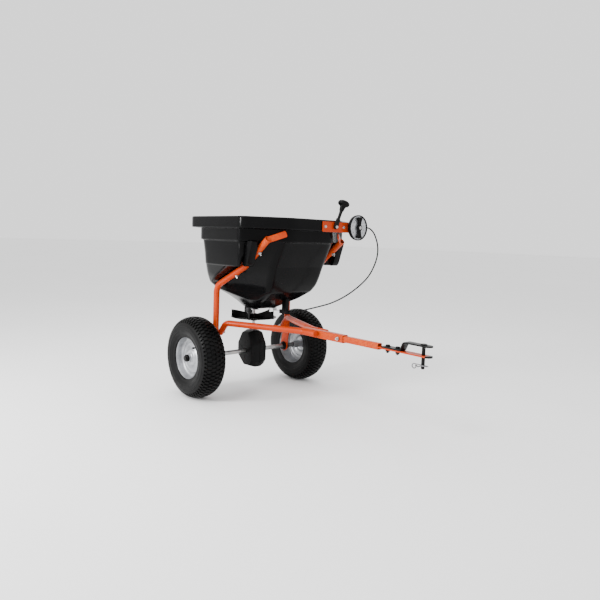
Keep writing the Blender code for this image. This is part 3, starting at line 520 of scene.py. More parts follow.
# The bead's rubber lip, which covers the rim's rolled edge, and its seat on the rim
BEAD = ((0.093, 0.0462), (0.0885, 0.0458), (0.085, 0.0444), (0.0832, 0.0428), (0.0834, 0.0414),
        (0.086, 0.0411), (0.0893, 0.0402), (0.0898, 0.0385), (0.087, 0.0345), (0.0845, 0.031))
# How far along the crown from its middle each row of tread blocks starts and ends
TREAD_ROWS = ((-0.008, 0.008), (0.0105, 0.0255), (0.028, 0.043), (0.0452, 0.056))
# The casing lies lower between the blocks, out to this far across and in to this radius
GROOVE_Y = 0.0478
GROOVE_RADIUS = 0.14
# Where along the crown each moulded ring starts and ends, and its height
SIDEWALL_RIBS = ((0.07, 0.0712, 0.0008), (0.085, 0.0864, 0.0007))


def tread_height(share, row):
    """How far a tread block stands up at a share of the pitch; alternate rows are staggered."""
    offset = (share + 0.5 * (row % 2)) % 1.0
    if offset > LUG_SHARE:
        return 0.0
    return min(1.0, offset / LUG_SLOPE, (LUG_SHARE - offset) / LUG_SLOPE)


def crown_stations():
    """Points along half the tyre's outside, as (radius, y, outward normal, tread row or None, rib)."""
    line = smooth_route([(radius, y, 0) for radius, y in CROWN], 24)
    reach = [0.0]
    for a, b in zip(line, line[1:]):
        reach.append(reach[-1] + (b - a).length)
    marks = []
    edge = 0.0011
    for row, (start, end) in enumerate(TREAD_ROWS):
        marks += [(max(start, 0.0), row), (end, row), (end + edge, None)]
        if start > 0:
            marks += [(start - edge, None), ((start + end) / 2, row)]
    for start, end, height in SIDEWALL_RIBS:
        marks += [(start - 0.0006, None), (start, height), (end, height), (end + 0.0006, None)]
    spacing = 0.004
    plain = max(mark for mark, _ in marks) + spacing
    while plain < reach[-1]:
        marks.append((plain, None))
        plain += spacing
    marks += [(mark, None) for mark in (0.061, 0.065, 0.0745, 0.0785)]
    stations = []
    for mark, kind in sorted(marks, key=lambda item: item[0]):
        index = max(i for i, value in enumerate(reach) if value <= mark)
        index = min(index, len(line) - 2)
        share = (mark - reach[index]) / (reach[index + 1] - reach[index])
        point = line[index].lerp(line[index + 1], share)
        along = (line[index + 1] - line[index]).normalized()
        stations.append((point, Vector((along.y, -along.x, 0)), kind))
    return stations


def tyre_mesh():
    """A casing with staggered tread blocks over its crown, moulded rings and beads at the rim."""
    still = Vector((0, 0, 0))
    half = crown_stations() + [(Vector((radius, y, 0)), still, None) for radius, y in BEAD]
    other = [(Vector((p.x, -p.y, 0)), Vector((n.x, -n.y, 0)), kind) for p, n, kind in reversed(half[1:])]
    profile = [*other, *half, *((Vector((0.086, y, 0)), still, None) for y in (0.024, -0.024))]
    pitch = 2 * pi / LUGS
    edges = sorted({(mark + stagger) % 1.0 for stagger in (0.0, 0.5)
                    for mark in (0.0, LUG_SLOPE, LUG_SHARE - LUG_SLOPE, LUG_SHARE)})
    rings = []
    for lug in range(LUGS):
        for share in edges:
            angle = (lug + share) * pitch
            ring = []
            for point, normal, kind in profile:
                height = 0.0
                if isinstance(kind, int):
                    height = (tread_height(share, kind) - 1.0) * LUG_DEPTH
                elif isinstance(kind, float):
                    height = kind
                elif abs(point.y) < GROOVE_Y and point.x > GROOVE_RADIUS:
                    height = -LUG_DEPTH
                placed = point + normal * height
                ring.append((placed.x * cos(angle), placed.y, placed.x * sin(angle)))
            rings.append(ring)
    return loft(rings, closed=True)


def rim_profile():
    """Pressed rim: rolled lip, stepped barrel and a dished disc with a stamped ring."""
    sheet = 0.0025
    outer = [(0.0868, -0.0336), (0.0882, -0.0385), (0.0872, -0.0405), (0.085, -0.0398), (0.0825, -0.0345),
             (0.0805, -0.027), (0.0795, -0.019), (0.077, -0.0145), (0.072, -0.0125), (0.064, -0.0128),
             (0.061, -0.0152), (0.058, -0.0156), (0.0545, -0.014), (0.044, -0.0158), (0.037, -0.0195),
             (0.032, -0.025), (0.027, -0.0268), (0.017, -0.0268)]
    back = [(radius + sheet * 0.4, y + sheet) for radius, y in reversed(outer[7:])]
    barrel = [(0.08, -0.01), (0.08, 0.027), (0.0825, 0.0345), (0.085, 0.0398), (0.0872, 0.0405),
              (0.0882, 0.0385), (0.0868, 0.0336), (0.0826, 0.0275), (0.0826, -0.0275)]
    return outer + back + barrel


def make_wheel(side_name, side):
    """Tyre, rim, hub, bushing and valve stem of one wheel."""
    place = Matrix.Translation((0, middle(f"wheel_rim_{side_name}").y, AXLE_Z))

    def wheel_piece(part, mesh, look, smooth=30):
        if side > 0:
            mesh.transform(Matrix.Rotation(pi, 4, "Z"))
        fine(f"{part}_{side_name}", moved(mesh, place), look, smooth)

    wheel_piece("tyre", tyre_mesh(), "tyre_rubber", 40)
    wheel_piece("wheel_rim", lathe(rim_profile(), 0.0012, 128, "Y"), "rim_steel", 50)
    hub = [(0.0128, -0.0357), (0.0164, -0.0357), (0.0164, 0.0357), (0.0128, 0.0357)]
    weld = [(0.0163, -0.0295), (0.0188, -0.0272), (0.0205, -0.0266), (0.0163, -0.0262)]
    wheel_piece("wheel_hub", joined([lathe(hub, 0.0007, axis="Y"), lathe(weld, axis="Y")]), "rim_steel")
    bore, end = 0.01, -0.0364
    flange = [(bore, end - 0.0047), (0.0137, end - 0.0047), (0.0143, end - 0.0035), (0.0143, end),
              (0.0118, end), (0.0118, 0.0357), (bore, 0.0357)]
    wheel_piece("hub_bushing", lathe(flange, 0.0007, axis="Y"), "black_plastic")
    make_valve(side_name, side)


def make_valve(side_name, side):
    """Valve stem with a ribbed rubber foot and a knurled cap, canted outwards from the dish."""
    name = f"valve_stem_{side_name}"
    foot = middle(name) - Vector((AXLE_X, 0, 0))
    inner, outer = faces(name, side)
    length = abs(outer - inner)
    profile = [(0, 0), (0.0042, 0), (0.0042, 0.006), (0.0034, 0.0075), (0.0031, 0.012), (0.0026, 0.0125),
               (0.0026, 0.0135), (0.0036, 0.014), (0.0036, length - 0.0008), (0.0028, length), (0, length)]
    grips = [moved(block((0.0034, -0.0003, 0.0145), (0.0039, 0.0003, length - 0.0015)),
                   Matrix.Rotation(radians(30 * i), 4, "Z")) for i in range(12)]
    ends = [Vector((foot.x, y, foot.z)) for y in (inner, outer)]
    stem = moved(joined([lathe(profile, 0.0004, 24, steps=2), *grips]), towards(*ends))
    fine(name, stem, "black_plastic")


def make_axle():
    """Axle with chamfered ends, its washers, bent cotter pins and the drive pin."""
    low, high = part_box("axle")
    fine("axle", rod((0, low.y, AXLE_Z), (0, high.y, AXLE_Z), 0.0095, 48, edge=0.0008), "zinc")
    pin, reach = Vector((0, middle("drive_pin").y, AXLE_Z)), Vector((0, 0, 0.0215))
    fine("drive_pin", rod(pin - reach, pin + reach, 0.0025, 24, edge=0.0004), "zinc")
    for side_name, side in SIDES:
        washer = middle(f"axle_washer_{side_name}").y
        end = faces("axle", side)[1] + side * 0.0002
        paint = rod((0, washer + side * 0.0012, AXLE_Z), (0, end, AXLE_Z), 0.0097, 48, edge=0.001)
        place_piece(f"axle_end_{side_name}", paint, "black_steel", "drive_axle")
        ring = [(0.0099, -0.001), (0.014, -0.001), (0.014, 0.001), (0.0099, 0.001)]
        ring = moved(lathe(ring, 0.0004, 48, "Y"), Matrix.Translation((0, washer, AXLE_Z)))
        fine(f"axle_washer_{side_name}", ring, "black_steel")
        at = Vector((0, middle(f"axle_cotter_{side_name}").y, AXLE_Z))
        leg = [at + Vector((0, 0, z)) for z in (-0.0128, 0.0105)]
        eye = [at + Vector((0.0022 * sin(a), 0, 0.0108 + 0.002 * (1 - cos(a))))
               for a in (radians(30 * step) for step in range(13))]
        shapes = [swept(leg, 0.0015, 5), swept(eye, 0.0008, 3)]
        fine(f"axle_cotter_{side_name}", joined(shapes), "black_steel")


for side_of_machine, sign in SIDES:
    make_wheel(side_of_machine, sign)
make_axle()


# Frame

POST_Y = 0.192
POST_X = 0.0135
# The post's path as (x, z), from its foot up and forwards
POST_CORNERS = ((POST_X, 0.246), (0.0155, 0.452), (0.205, 0.543), (0.34, 0.65))
DRAWBAR_Y = POST_Y - 0.0255
TUBE_RADIUS = 0.0125
TUBE_WALL = 0.0016
TONGUE_Z = 0.2985


def strap_outline():
    """Flattened foot of a post: round about the axle and tapering up to the tube."""
    eye = arc((0, AXLE_Z), 0.0225, 165, 375, 40)
    flank = [(POST_X + 0.0175, 0.235), (POST_X + 0.0175, 0.268), (POST_X - 0.015, 0.268)]
    return eye + flank


def head_strap(side):
    """Flat end of the post, turned inwards and up to the control bracket's height."""
    start, end = Vector((0.331, side * POST_Y, 0.6445)), Vector((0.373, side * 0.134, 0.671))
    along = end - start
    across = Vector((0, side * 0.2, -1)).cross(along).normalized()
    upward = along.normalized().cross(across)
    plan = fillet([(0, -0.0115), (along.length, -0.0115), (along.length, 0.0115), (0, 0.0115)],
                  [0.001, 0.006, 0.006, 0.001], 5)
    strap = bevelled(prism(plan, -0.003, 0.003, "XZ"), 0.001, 3)
    frame_axes = Matrix((along.normalized(), across, upward)).transposed().to_4x4()
    return moved(strap, Matrix.Translation(start) @ frame_axes)


def make_post(side_name, side):
    """Bent tube from the axle up under the hopper, with a pressed foot and head."""
    def at(x, z, y=POST_Y):
        return Vector((x, side * y, z))

    path = rounded_path([at(x, z) for x, z in POST_CORNERS], 0.045, 16)
    tube = swept(path, TUBE_RADIUS, 8, TUBE_WALL)
    foot = prism(strap_outline(), side * POST_Y - 0.0025, side * POST_Y + 0.0025)
    bore = rod(at(0, AXLE_Z, POST_Y - 0.02), at(0, AXLE_Z, POST_Y + 0.02), 0.0173, 48)
    foot = bevelled(cut(foot, [bore]), 0.0009, 3)
    throat = swept([at(POST_X, 0.24), at(POST_X, 0.25)], TUBE_RADIUS - 0.0004, 8)
    weld = [at(POST_X + TUBE_RADIUS * cos(a), 0.247 + 0.0008 * sin(5 * a),
               POST_Y + TUBE_RADIUS * sin(a))
            for a in (radians(10 * step) for step in range(37))]
    bead = swept(weld, 0.0016, 3)
    fine(f"hopper_post_{side_name}", joined([tube, foot, throat, bead, head_strap(side)]), "orange_paint", 40)


def make_drawbar(side_name, side):
    """Bent tube from the post foot forwards and inwards to the tongue, with its bolt."""
    foot_y = side * DRAWBAR_Y
    corners = [(0.009, foot_y, 0.255), (0.05, foot_y, 0.302), (0.368, side * 0.0292, 0.302),
               (0.436, side * 0.0292, 0.302)]
    path = rounded_path(corners, 0.034, 16)
    tube = bevelled(swept(path, TUBE_RADIUS, 8), 0.002, 3, 60)
    fine(f"drawbar_tube_{side_name}", tube, "orange_paint", 40)
    bolt = f"frame_bolt_{side_name}"
    inner, outer = faces(bolt, side)
    at = (middle(bolt).x - AXLE_X, outer, middle(bolt).z)
    fine(bolt, joined(washer_and_head(at, (0, -side, 0), 0.0012, 0.0078, abs(outer - inner), 0.012)), "zinc")


def make_bearing(side_name, side):
    inner, half, face = 0.0099, 0.0135, 0.0029
    profile = [(inner, -half), (0.0168, -half), (0.0168, face), (0.0196, face), (0.0196, 0.0055),
               (0.016, 0.0068), (0.015, half), (inner, half)]
    bearing = lathe([(radius, -side * y) for radius, y in profile], axis="Y")
    place = Matrix.Translation((0, side * POST_Y, AXLE_Z))
    fine(f"axle_bearing_{side_name}", moved(bearing, place), "black_plastic")


def square_section(size, radius, steps=6):
    half = size / 2
    return fillet([(-half, -half), (half, -half), (half, half), (-half, half)], radius, steps)


def square_tube(start, end, size, wall, radius=0.0045):
    """Square tube along X with rounded corners and open ends."""
    outside, inside = square_section(size, radius), square_section(size - 2 * wall, radius - 0.0015)
    loops = ((start, outside), (end, outside), (end, inside), (start, inside))
    rings = [[(x, p.x, p.y + TONGUE_Z) for p in loop] for x, loop in loops]
    return loft(rings, closed=True)


def make_tongue():
    """Telescoping tongue: a 29 mm outer tube and the inner tube that slides in it, bolted across."""
    bolt_x = middle("tongue_bolt").x - AXLE_X
    for node, wide in (("tongue_outer_tube", 0.029), ("tongue_inner_tube", 0.0225)):
        low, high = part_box(node)
        tube = square_tube(low.x - AXLE_X, high.x - AXLE_X, wide, 0.002)
        hole = rod((bolt_x, -0.03, TONGUE_Z), (bolt_x, 0.03, TONGUE_Z), 0.0045)
        fine(node, cut(tube, [hole]), "orange_paint", 35)
    face = 0.0145 + GAP
    at = [Vector((bolt_x, side * face, TONGUE_Z)) for _, side in SIDES]
    across = Vector((0, 1, 0))
    shapes = [rod(at[0] - across * 0.012, at[1] + across * 0.002, 0.0042, edge=0.0006),
              *washer_and_head(at[1], across, 0.0011, 0.0085, 0.0055, 0.013, 40),
              hexagon(at[0], at[0] - across * 0.0065, 0.013)]
    fine("tongue_bolt", joined(shapes), "zinc")


# Hitch

PLATE_TOP = 0.2995
PLATE_THICKNESS = 0.005
PLATE_WIDTH = 0.032
HITCH_END = 0.935
HITCH_PIN_X = 0.903
HITCH_BOLTS = (("rear", 0.758), ("front", 0.8))
CLIP_Z = 0.2665


def rounded_bar(start, end, width):
    half = width / 2
    return [(start, half), (start, -half)] + arc((end - half, 0), half, -90, 90, 32)


def make_hitch():
    """Lower bar, raised upper bar, their bolts, the drop pin and its hairpin."""
    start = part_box("hitch_bar")[0].x - AXLE_X
    bar = prism(rounded_bar(start, HITCH_END, PLATE_WIDTH), PLATE_TOP - PLATE_THICKNESS, PLATE_TOP, "XY")
    holes = [(HITCH_PIN_X, 0.0065), *((x, 0.0045) for _, x in HITCH_BOLTS)]
    drills = [rod((x, 0, 0.2), (x, 0, 0.4), radius, 40) for x, radius in holes]
    fine("hitch_bar", bevelled(cut(bar, drills), 0.0007, 3), "orange_paint")
    # A thin black shell over the last 16 mm of the lower bar, which darkens its rounded end.
    coat = 0.0003
    dark_end_shell = prism(rounded_bar(HITCH_END - 0.016, HITCH_END + coat, PLATE_WIDTH + 2 * coat),
                PLATE_TOP - PLATE_THICKNESS - coat, PLATE_TOP + coat, "XY")
    place_piece("hitch_tip", bevelled(dark_end_shell, 0.0007, 3), "black_steel", "frame")
    low, lift, rise = PLATE_TOP + GAP, 0.028, 0.822
    top = low + PLATE_THICKNESS
    under = fillet([(0.742, low), (rise, low), (rise + 0.012, low + lift), (HITCH_END, low + lift)],
                   [0, 0.003, 0.007, 0], 6, closed=False)
    over = fillet([(HITCH_END, top + lift), (rise + 0.0085, top + lift), (rise - 0.0035, top), (0.742, top)],
                  [0, 0.007, 0.003, 0], 6, closed=False)
    clevis = prism([*under, *over], -PLATE_WIDTH / 2, PLATE_WIDTH / 2)
    nose = prism(rounded_bar(0.7, HITCH_END, PLATE_WIDTH), 0.2, 0.4, "XY")
    clevis = cut(cut(clevis, [nose], "INTERSECT"), drills)
    fine("hitch_clevis", bevelled(clevis, 0.0007, 3), "black_steel", 35)
    below = PLATE_TOP - PLATE_THICKNESS - GAP
    for label, x in HITCH_BOLTS:
        shapes = [rod((x, 0, below - 0.012), (x, 0, top + 0.002), 0.0042, edge=0.0006),
                  *washer_and_head((x, 0, top + GAP), (0, 0, 1), 0.0011, 0.0092, 0.0057, 0.014, 40),
                  hexagon((x, 0, below), (x, 0, below - 0.0075), 0.014)]
        fine(f"hitch_bolt_{label}", joined(shapes), "black_steel")
    seat, foot = top + lift + GAP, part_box("hitch_pin")[0].z
    profile = [(0, foot), (0.0044, foot), (0.006, foot + 0.0022), (0.006, seat), (0.0108, seat),
               (0.0108, seat + 0.0024), (0.0098, seat + 0.0032), (0, seat + 0.0032)]
    pin = moved(lathe(profile), Matrix.Translation((HITCH_PIN_X, 0, 0)))
    cross = rod((HITCH_PIN_X - 0.02, 0, CLIP_Z), (HITCH_PIN_X + 0.02, 0, CLIP_Z), 0.0021, 24)
    fine("hitch_pin", cut(pin, [cross]), "black_steel", 35)
    make_hairpin()


def make_hairpin():
    """Spring clip: a straight leg through the pin, a loop, and a bowed leg in front of it."""
    loop_x, loop_r, wire, clear = -0.034, 0.0075, 0.0017, 0.0081
    path = [(0.02, 0, 0), (0.004, 0, 0), (-0.012, 0, 0), (-0.026, 0, 0)]
    path += [(loop_x + loop_r * cos(a), 0, loop_r * sin(a) - loop_r)
             for a in (radians(90 + 25 * step) for step in range(13))]
    path += [(-0.016, -0.004, -0.0065), (-0.007, -clear, -0.003), (0.004, -clear, 0.0),
             (0.014, -clear - 0.0002, 0.0005), (0.021, -clear - 0.002, 0.0005)]
    route = [Vector(point) + Vector((HITCH_PIN_X, 0, CLIP_Z)) for point in smooth_route(path, 5)]
    clip = fine("hairpin_clip", swept(route, wire, 5), "zinc", 50)
    clip.data.materials[0] = LOOKS["spring_steel"]


for side_of_machine, sign in SIDES:
    make_post(side_of_machine, sign)
    make_drawbar(side_of_machine, sign)
    make_bearing(side_of_machine, sign)
make_tongue()
make_hitch()


# Gear case, drive and spreading disc

SHAFT_Y = 0.013
BLADE_TOP = 0.343
# Screws of the gear case as (x, z)
CASE_SCREWS = ((-0.014, 0.231), (0.018, 0.231), (0.04, 0.171), (-0.04, 0.171), (0.026, 0.116),
               (-0.004, 0.116))


def case_outline(grow=0.0):
    """Stretched hexagon with cut corners, in the plane across the axle."""
    top, bottom, waist = AXLE_Z + 0.09 + grow, AXLE_Z - 0.0695 - grow, 0.058 + grow
    return [(-0.025, top), (0.025, top), (waist, 0.199), (waist, 0.122), (0.04, bottom), (-0.008, bottom),
            (-waist, 0.142), (-waist, 0.199)]


def tapered(outline, seam, outer, share):
    """Loft a case half from its outline at the seam to a smaller one at its outer face."""
    centre = Vector((0.004, AXLE_Z + 0.004))
    rings = []
    for level, size in ((seam, 1.0), (seam + (outer - seam) * 0.35, 1.0), (outer, share)):
        corners = [centre + (point - centre) * size for point in outline]
        rings.append([(corner.x, level, corner.y) for corner in corners])
    return loft(rings)


def make_gear_case():
    """Two moulded halves with a flanged joint, ribs round the axle boss and screws at the corners."""
    for side_name, side in SIDES:
        inner, outer = faces(f"gear_case_{side_name}", side)
        body = bevelled(tapered(fillet(case_outline(-0.0012), 0.003, 4), inner, outer, 0.88), 0.002, 3)
        seam = sorted((inner, inner + side * 0.006))
        lip = bevelled(prism(fillet(case_outline(), 0.007, 5), *seam), 0.0008, 3)
        boss = rod((0, outer - side * 0.0042, AXLE_Z), (0, outer - side * 0.0002, AXLE_Z), 0.021, 64,
                   edge=0.001)
        screws = [rod((x, outer - side * 0.004, z), (x, outer - side * 0.0001, z), 0.0038, 24, edge=0.0008)
                  for x, z in CASE_SCREWS]
        face = Matrix.Translation((0, outer + (0.0006 if side > 0 else 0.0004), AXLE_Z))
        ribs = [bevelled(moved(block((0.0185, -0.0012, -0.0016), (0.04, 0.0002, 0.0016)),
                               face @ Matrix.Rotation(radians(-30 - 60 * index), 4, "Y")), 0.0005, 2)
                for index in range(6)]
        hole = rod((0, -0.2, AXLE_Z), (0, 0.2, AXLE_Z), 0.01, 40)
        shaft = rod((0, SHAFT_Y, 0.2), (0, SHAFT_Y, 0.3), 0.0064)
        hollow = prism(case_outline(-0.015), *sorted((outer - side * 0.006, inner - side * 0.01)))
        case = [cut(shape, [hole, shaft, hollow]) for shape in (body, lip)]
        shapes = [*case, cut(boss, [hole]), *ribs, *screws]
        fine(f"gear_case_{side_name}", joined(shapes), "black_plastic", 35)


def make_disc():
    """Spreading disc: dished plate with a rolled edge, a ribbed hub and five curved blades."""
    level, radius, bore = 0.306, 0.098, 0.0064
    dish = [(bore, level - 0.012), (0.0138, level - 0.012), (0.016, level - 0.003), (0.09, level + 0.0028),
            (radius, level + 0.003), (radius, level + 0.0064), (0.092, level + 0.0052),
            (0.019, level + 0.001), (0.0145, level + 0.006), (0.0128, level + 0.02), (bore, level + 0.02)]
    shapes = [lathe(dish, 0.0012, 128, steps=4)]
    base = level + 0.0015
    for blade in range(5):
        rings = []
        for step in range(25):
            share = step / 24
            reach = 0.014 + share * (radius - 0.0155)
            angle = radians(72 * blade + 24 * share * share)
            point = Vector((reach * cos(angle), reach * sin(angle), 0))
            across = Vector((-sin(angle), cos(angle), 0))
            top = level + 0.0145 + (BLADE_TOP - level - 0.0148) * reach / radius
            section = [(-0.0016, base), (-0.0009, base + 0.003), (-0.0009, top - 0.0007), (-0.0004, top),
                       (0.0004, top), (0.0009, top - 0.0007), (0.0009, base + 0.003), (0.0016, base)]
            rings.append([point + across * offset + Vector((0, 0, z)) for offset, z in section])
        shapes.append(loft(rings))
    fine("spreading_disc", moved(joined(shapes), Matrix.Translation((0, SHAFT_Y, 0))), "black_plastic", 35)


def make_drive():
    """Spinner shaft with its agitator pin; the gears inside the case keep their CAD shape."""
    low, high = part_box("spinner_shaft")
    fine("spinner_shaft", rod((0, SHAFT_Y, low.z), (0, SHAFT_Y, high.z), 0.006, 48, edge=0.0008), "zinc")
    pin = middle("agitator_pin").z
    fine("agitator_pin", rod((-0.034, SHAFT_Y, pin), (0.034, SHAFT_Y, pin), 0.0025, 24, edge=0.0006), "zinc")
    keep("drive_gear", "zinc")
    keep("pinion", "zinc")


# Hopper

TUBE_CLEARANCE = 0.0035
FLOOR_Z = 0.362
RIM_TOP = 0.7295
RIM_BOTTOM = 0.687
STEP_BOTTOM = 0.641
POD_BOTTOM = 0.546
WALL = 0.004
LIP = 0.013
SADDLE_INNER = 0.2078
SADDLE_OUTER = 0.24
# Half outlines, each from the rear to the front as (x, y) corners
FUNNEL = (
    (FLOOR_Z, ((-0.026, 0.026), (-0.014, 0.038), (0.008, 0.05), (0.025, 0.056), (0.06, 0.06),
               (0.09, 0.06), (0.11, 0.05))),
    (0.385, ((-0.046, 0.036), (-0.032, 0.056), (0.002, 0.078), (0.045, 0.09), (0.085, 0.096),
             (0.115, 0.098), (0.15, 0.082))),
    (0.406, ((-0.062, 0.056), (-0.046, 0.086), (-0.004, 0.108), (0.045, 0.118), (0.09, 0.124),
             (0.135, 0.126), (0.197, 0.1))),
    (0.44, ((-0.088, 0.1), (-0.066, 0.137), (-0.036, 0.158), (-0.024, 0.164), (-0.012, 0.166),
             (0.0, 0.166), (0.256, 0.118))))
# Level, rear corner, rear corner of the side wall, front corner of the side pod, front corner
BODY = (
    (0.468, (-0.084, 0.146), (-0.025, 0.201), (0.012, 0.218), (0.274, 0.13)),
    (0.5, (-0.084, 0.152), (-0.013, 0.224), (0.072, 0.236), (0.288, 0.133)),
    (POD_BOTTOM - 0.004, (-0.084, 0.155), (0.0, 0.241), (0.16, 0.252), (0.302, 0.135)),
    (POD_BOTTOM, (-0.084, 0.155), (0.004, 0.246), (0.262, 0.26), (0.304, 0.135)),
    (0.59, (-0.085, 0.158), (0.001, 0.248), (0.266, 0.262), (0.326, 0.133)),
    (0.616, (-0.086, 0.16), (-0.003, 0.25), (0.267, 0.262), (0.338, 0.131)))
# How far the edge at each of those levels is trimmed to round it
BODY_TRIMS = (0.014, 0.014, 0.003, 0.003, 0.01, 0.01)
BODY_TOP = ((-0.087, 0.162), (-0.007, 0.251), (0.262, 0.262), (0.273, 0.235), (0.29, 0.206),
            (0.296, 0.176), (0.348, 0.13))
STEP = ((-0.097, 0.168), (-0.018, 0.256), (0.268, 0.27), (0.277, 0.252), (0.3, 0.193),
        (0.345, 0.137), (0.369, 0.108))
RIM = ((-0.125, 0.183), (-0.044, 0.283), (0.286, 0.283), (0.302, 0.274), (0.338, 0.215),
       (0.38, 0.146), (0.389, 0.11))
# How far each corner of an outline is trimmed to round it, from the rear to the front
CORNER_TRIMS = (0.026, 0.03, 0.02, 0.012, 0.01, 0.01, 0.026)


def ledge_x(level):
    """How far forward the tub may reach above the sloping post at a height."""
    slope_points = POST_CORNERS[1:]
    reach = []
    for start, end in zip(slope_points, slope_points[1:]):
        slope = (end[1] - start[1]) / (end[0] - start[0])
        centre = start[0] + (level - start[1]) / slope
        reach.append(centre - (TUBE_RADIUS + TUBE_CLEARANCE) / sin(atan(slope)))
    return min(reach)


def body_outline(level, rear, flank, pod, front):
    ledge = ledge_x(level)
    return (rear, flank, pod, (min(pod[0], ledge + 0.03), POST_Y + 0.0205), (ledge, POST_Y + 0.0145),
            (ledge, POST_Y - 0.0145), front)


def rounded_loop(level, half):
    """A section of the tub with its corners rounded, as a closed ring of points."""
    loop = [Vector((x, y, level)) for x, y in half] + [Vector((x, -y, level)) for x, y in reversed(half)]
    return fillet(loop, list(CORNER_TRIMS + CORNER_TRIMS[::-1]), 6)


def hopper_rings():
    """Rings of the outer skin from the floor up, each with the trim that rounds its edge."""
    rings = [(level, half, 0.01) for level, half in FUNNEL]
    rings += [(row[0], body_outline(*row), trim) for row, trim in zip(BODY, BODY_TRIMS)]
    rings += [(STEP_BOTTOM - 0.004, BODY_TOP, 0.003), (STEP_BOTTOM, STEP, 0.003),
              (RIM_BOTTOM - 0.003, STEP, 0.002), (RIM_BOTTOM, RIM, 0.004), (RIM_TOP, RIM, 0.007)]
    return [(rounded_loop(level, half), trim) for level, half, trim in rings]


def hopper_mesh():
    """Double-skinned tub: up the outside, over a rolled rim and down the inside to the floor."""
    outside = hopper_rings()
    rim, step = outside[-1][0], outside[-3][0]
    under_rim = [Vector((p.x, p.y, RIM_BOTTOM + 0.004)) for p in inset(step, WALL)]
    rings = [*outside, (inset(rim, LIP), 0.006), (under_rim, 0.006)]
    for ring, trim in reversed(outside[:-3]):
        lift = WALL if ring is outside[0][0] else 0.0
        rings.append(([Vector((p.x, p.y, p.z + lift)) for p in inset(ring, WALL)], trim))
    trims = [trim for _, trim in rings]
    columns = [fillet([ring[i] for ring, _ in rings], trims, 4, closed=False) for i in range(len(rim))]
    return loft(zip(*columns))


def make_saddles():
    """Moulded lobe of each side pod that reaches down over the outside of the post."""
    lobes = []
    outline = fillet([(0.25, 0.56), (0.254, 0.548), (0.27, 0.545), (0.281, 0.556), (0.29, 0.585),
                      (0.308, 0.641), (0.25, 0.641)], 0.006, 5)
    for _, side in SIDES:
        low, high = sorted((side * SADDLE_INNER, side * SADDLE_OUTER))
        lobes.append(bevelled(prism(outline, low, high), 0.004, 4))
    return lobes


def make_hopper():
    """Tub with its discharge slot and shaft hole cut in the floor."""
    slot = bevelled(block((0.03, -0.032, FLOOR_Z - 0.01), (0.08, 0.032, FLOOR_Z + 0.02)), 0.003, 3)
    shaft = rod((0, SHAFT_Y, FLOOR_Z - 0.01), (0, SHAFT_Y, FLOOR_Z + 0.02), 0.007)
    fine("hopper", joined([cut(hopper_mesh(), [slot, shaft]), *make_saddles()]), "hopper_plastic", 42)


def make_hopper_bolts():
    """Nuts and thread ends of the tub's bolts, square to the posts they hang from."""
    low, bend, high = (Vector(corner) for corner in POST_CORNERS[1:])
    for side_name, side in SIDES:
        for label, x in (("rear", 0.145), ("middle", 0.285)):
            start, end = (low, bend) if x < bend[0] else (bend, high)
            point = start.lerp(end, (x - start[0]) / (end[0] - start[0]))
            along = (end - start).normalized()
            down = Vector((along[1], 0, -along[0]))
            near = Vector((point[0], side * POST_Y, point[1])) + down * (TUBE_RADIUS + 0.0006)
            shapes = [*washer_and_head(near, down, 0.0012, 0.0072, 0.0055, 0.011),
                      rod(near, near + down * 0.011, 0.0032, 24, edge=0.0006)]
            fine(f"hopper_bolt_{label}_{side_name}", joined(shapes), "zinc")


def make_gate():
    """Shut-off plate, its rails and the cable anchor, with their edges rounded."""
    fine("gate_plate", refined("gate_plate", 0.0003, 2), "zinc")
    for side_name, _ in SIDES:
        fine(f"gate_rail_{side_name}", refined(f"gate_rail_{side_name}", 0.0006), "black_plastic")
    fine("cable_anchor", refined("cable_anchor", 0.0008), "black_plastic")


# Controls

PLATE_X = 0.3935
PIVOT = Vector((0.402, 0.09, 0.704))
LEVER_LEAN = radians(23.0)
KNOB_DISTANCE = 0.098
DIAL = Vector((0.4005, 0.205, 0.705))
DIAL_RADIUS = 0.05
DIAL_DEPTH = 0.018


def make_bracket():
    """Folded plate on the front of the rim, with the lever's and the dial's seats and its bolts."""
    plan = fillet([(0.028, 0.684), (0.235, 0.684), (0.235, 0.7235), (0.028, 0.7235)], 0.005, 5)
    plate = bevelled(prism(plan, PLATE_X - 0.003, PLATE_X, "YZ"), 0.0008, 3)
    fold = bevelled(block((PLATE_X - 0.0028, 0.034, 0.7215), (PLATE_X + 0.0012, 0.15, 0.7233)), 0.0007, 3)
    seat = block((PLATE_X - 0.001, DIAL.y - 0.02, DIAL.z - 0.016),
                 (DIAL.x - GAP, DIAL.y + 0.02, DIAL.z + 0.016))
    seat = bevelled(seat, 0.0015, 3)
    fine("control_bracket", joined([plate, fold, seat]), "orange_paint")
    for label, y in (("right", 0.042), ("left", 0.142)):
        shapes = washer_and_head((PLATE_X + GAP, y, PIVOT.z), (1, 0, 0), 0.001, 0.0058, 0.0046, 0.009)
        fine(f"bracket_bolt_{label}", joined(shapes), "zinc")


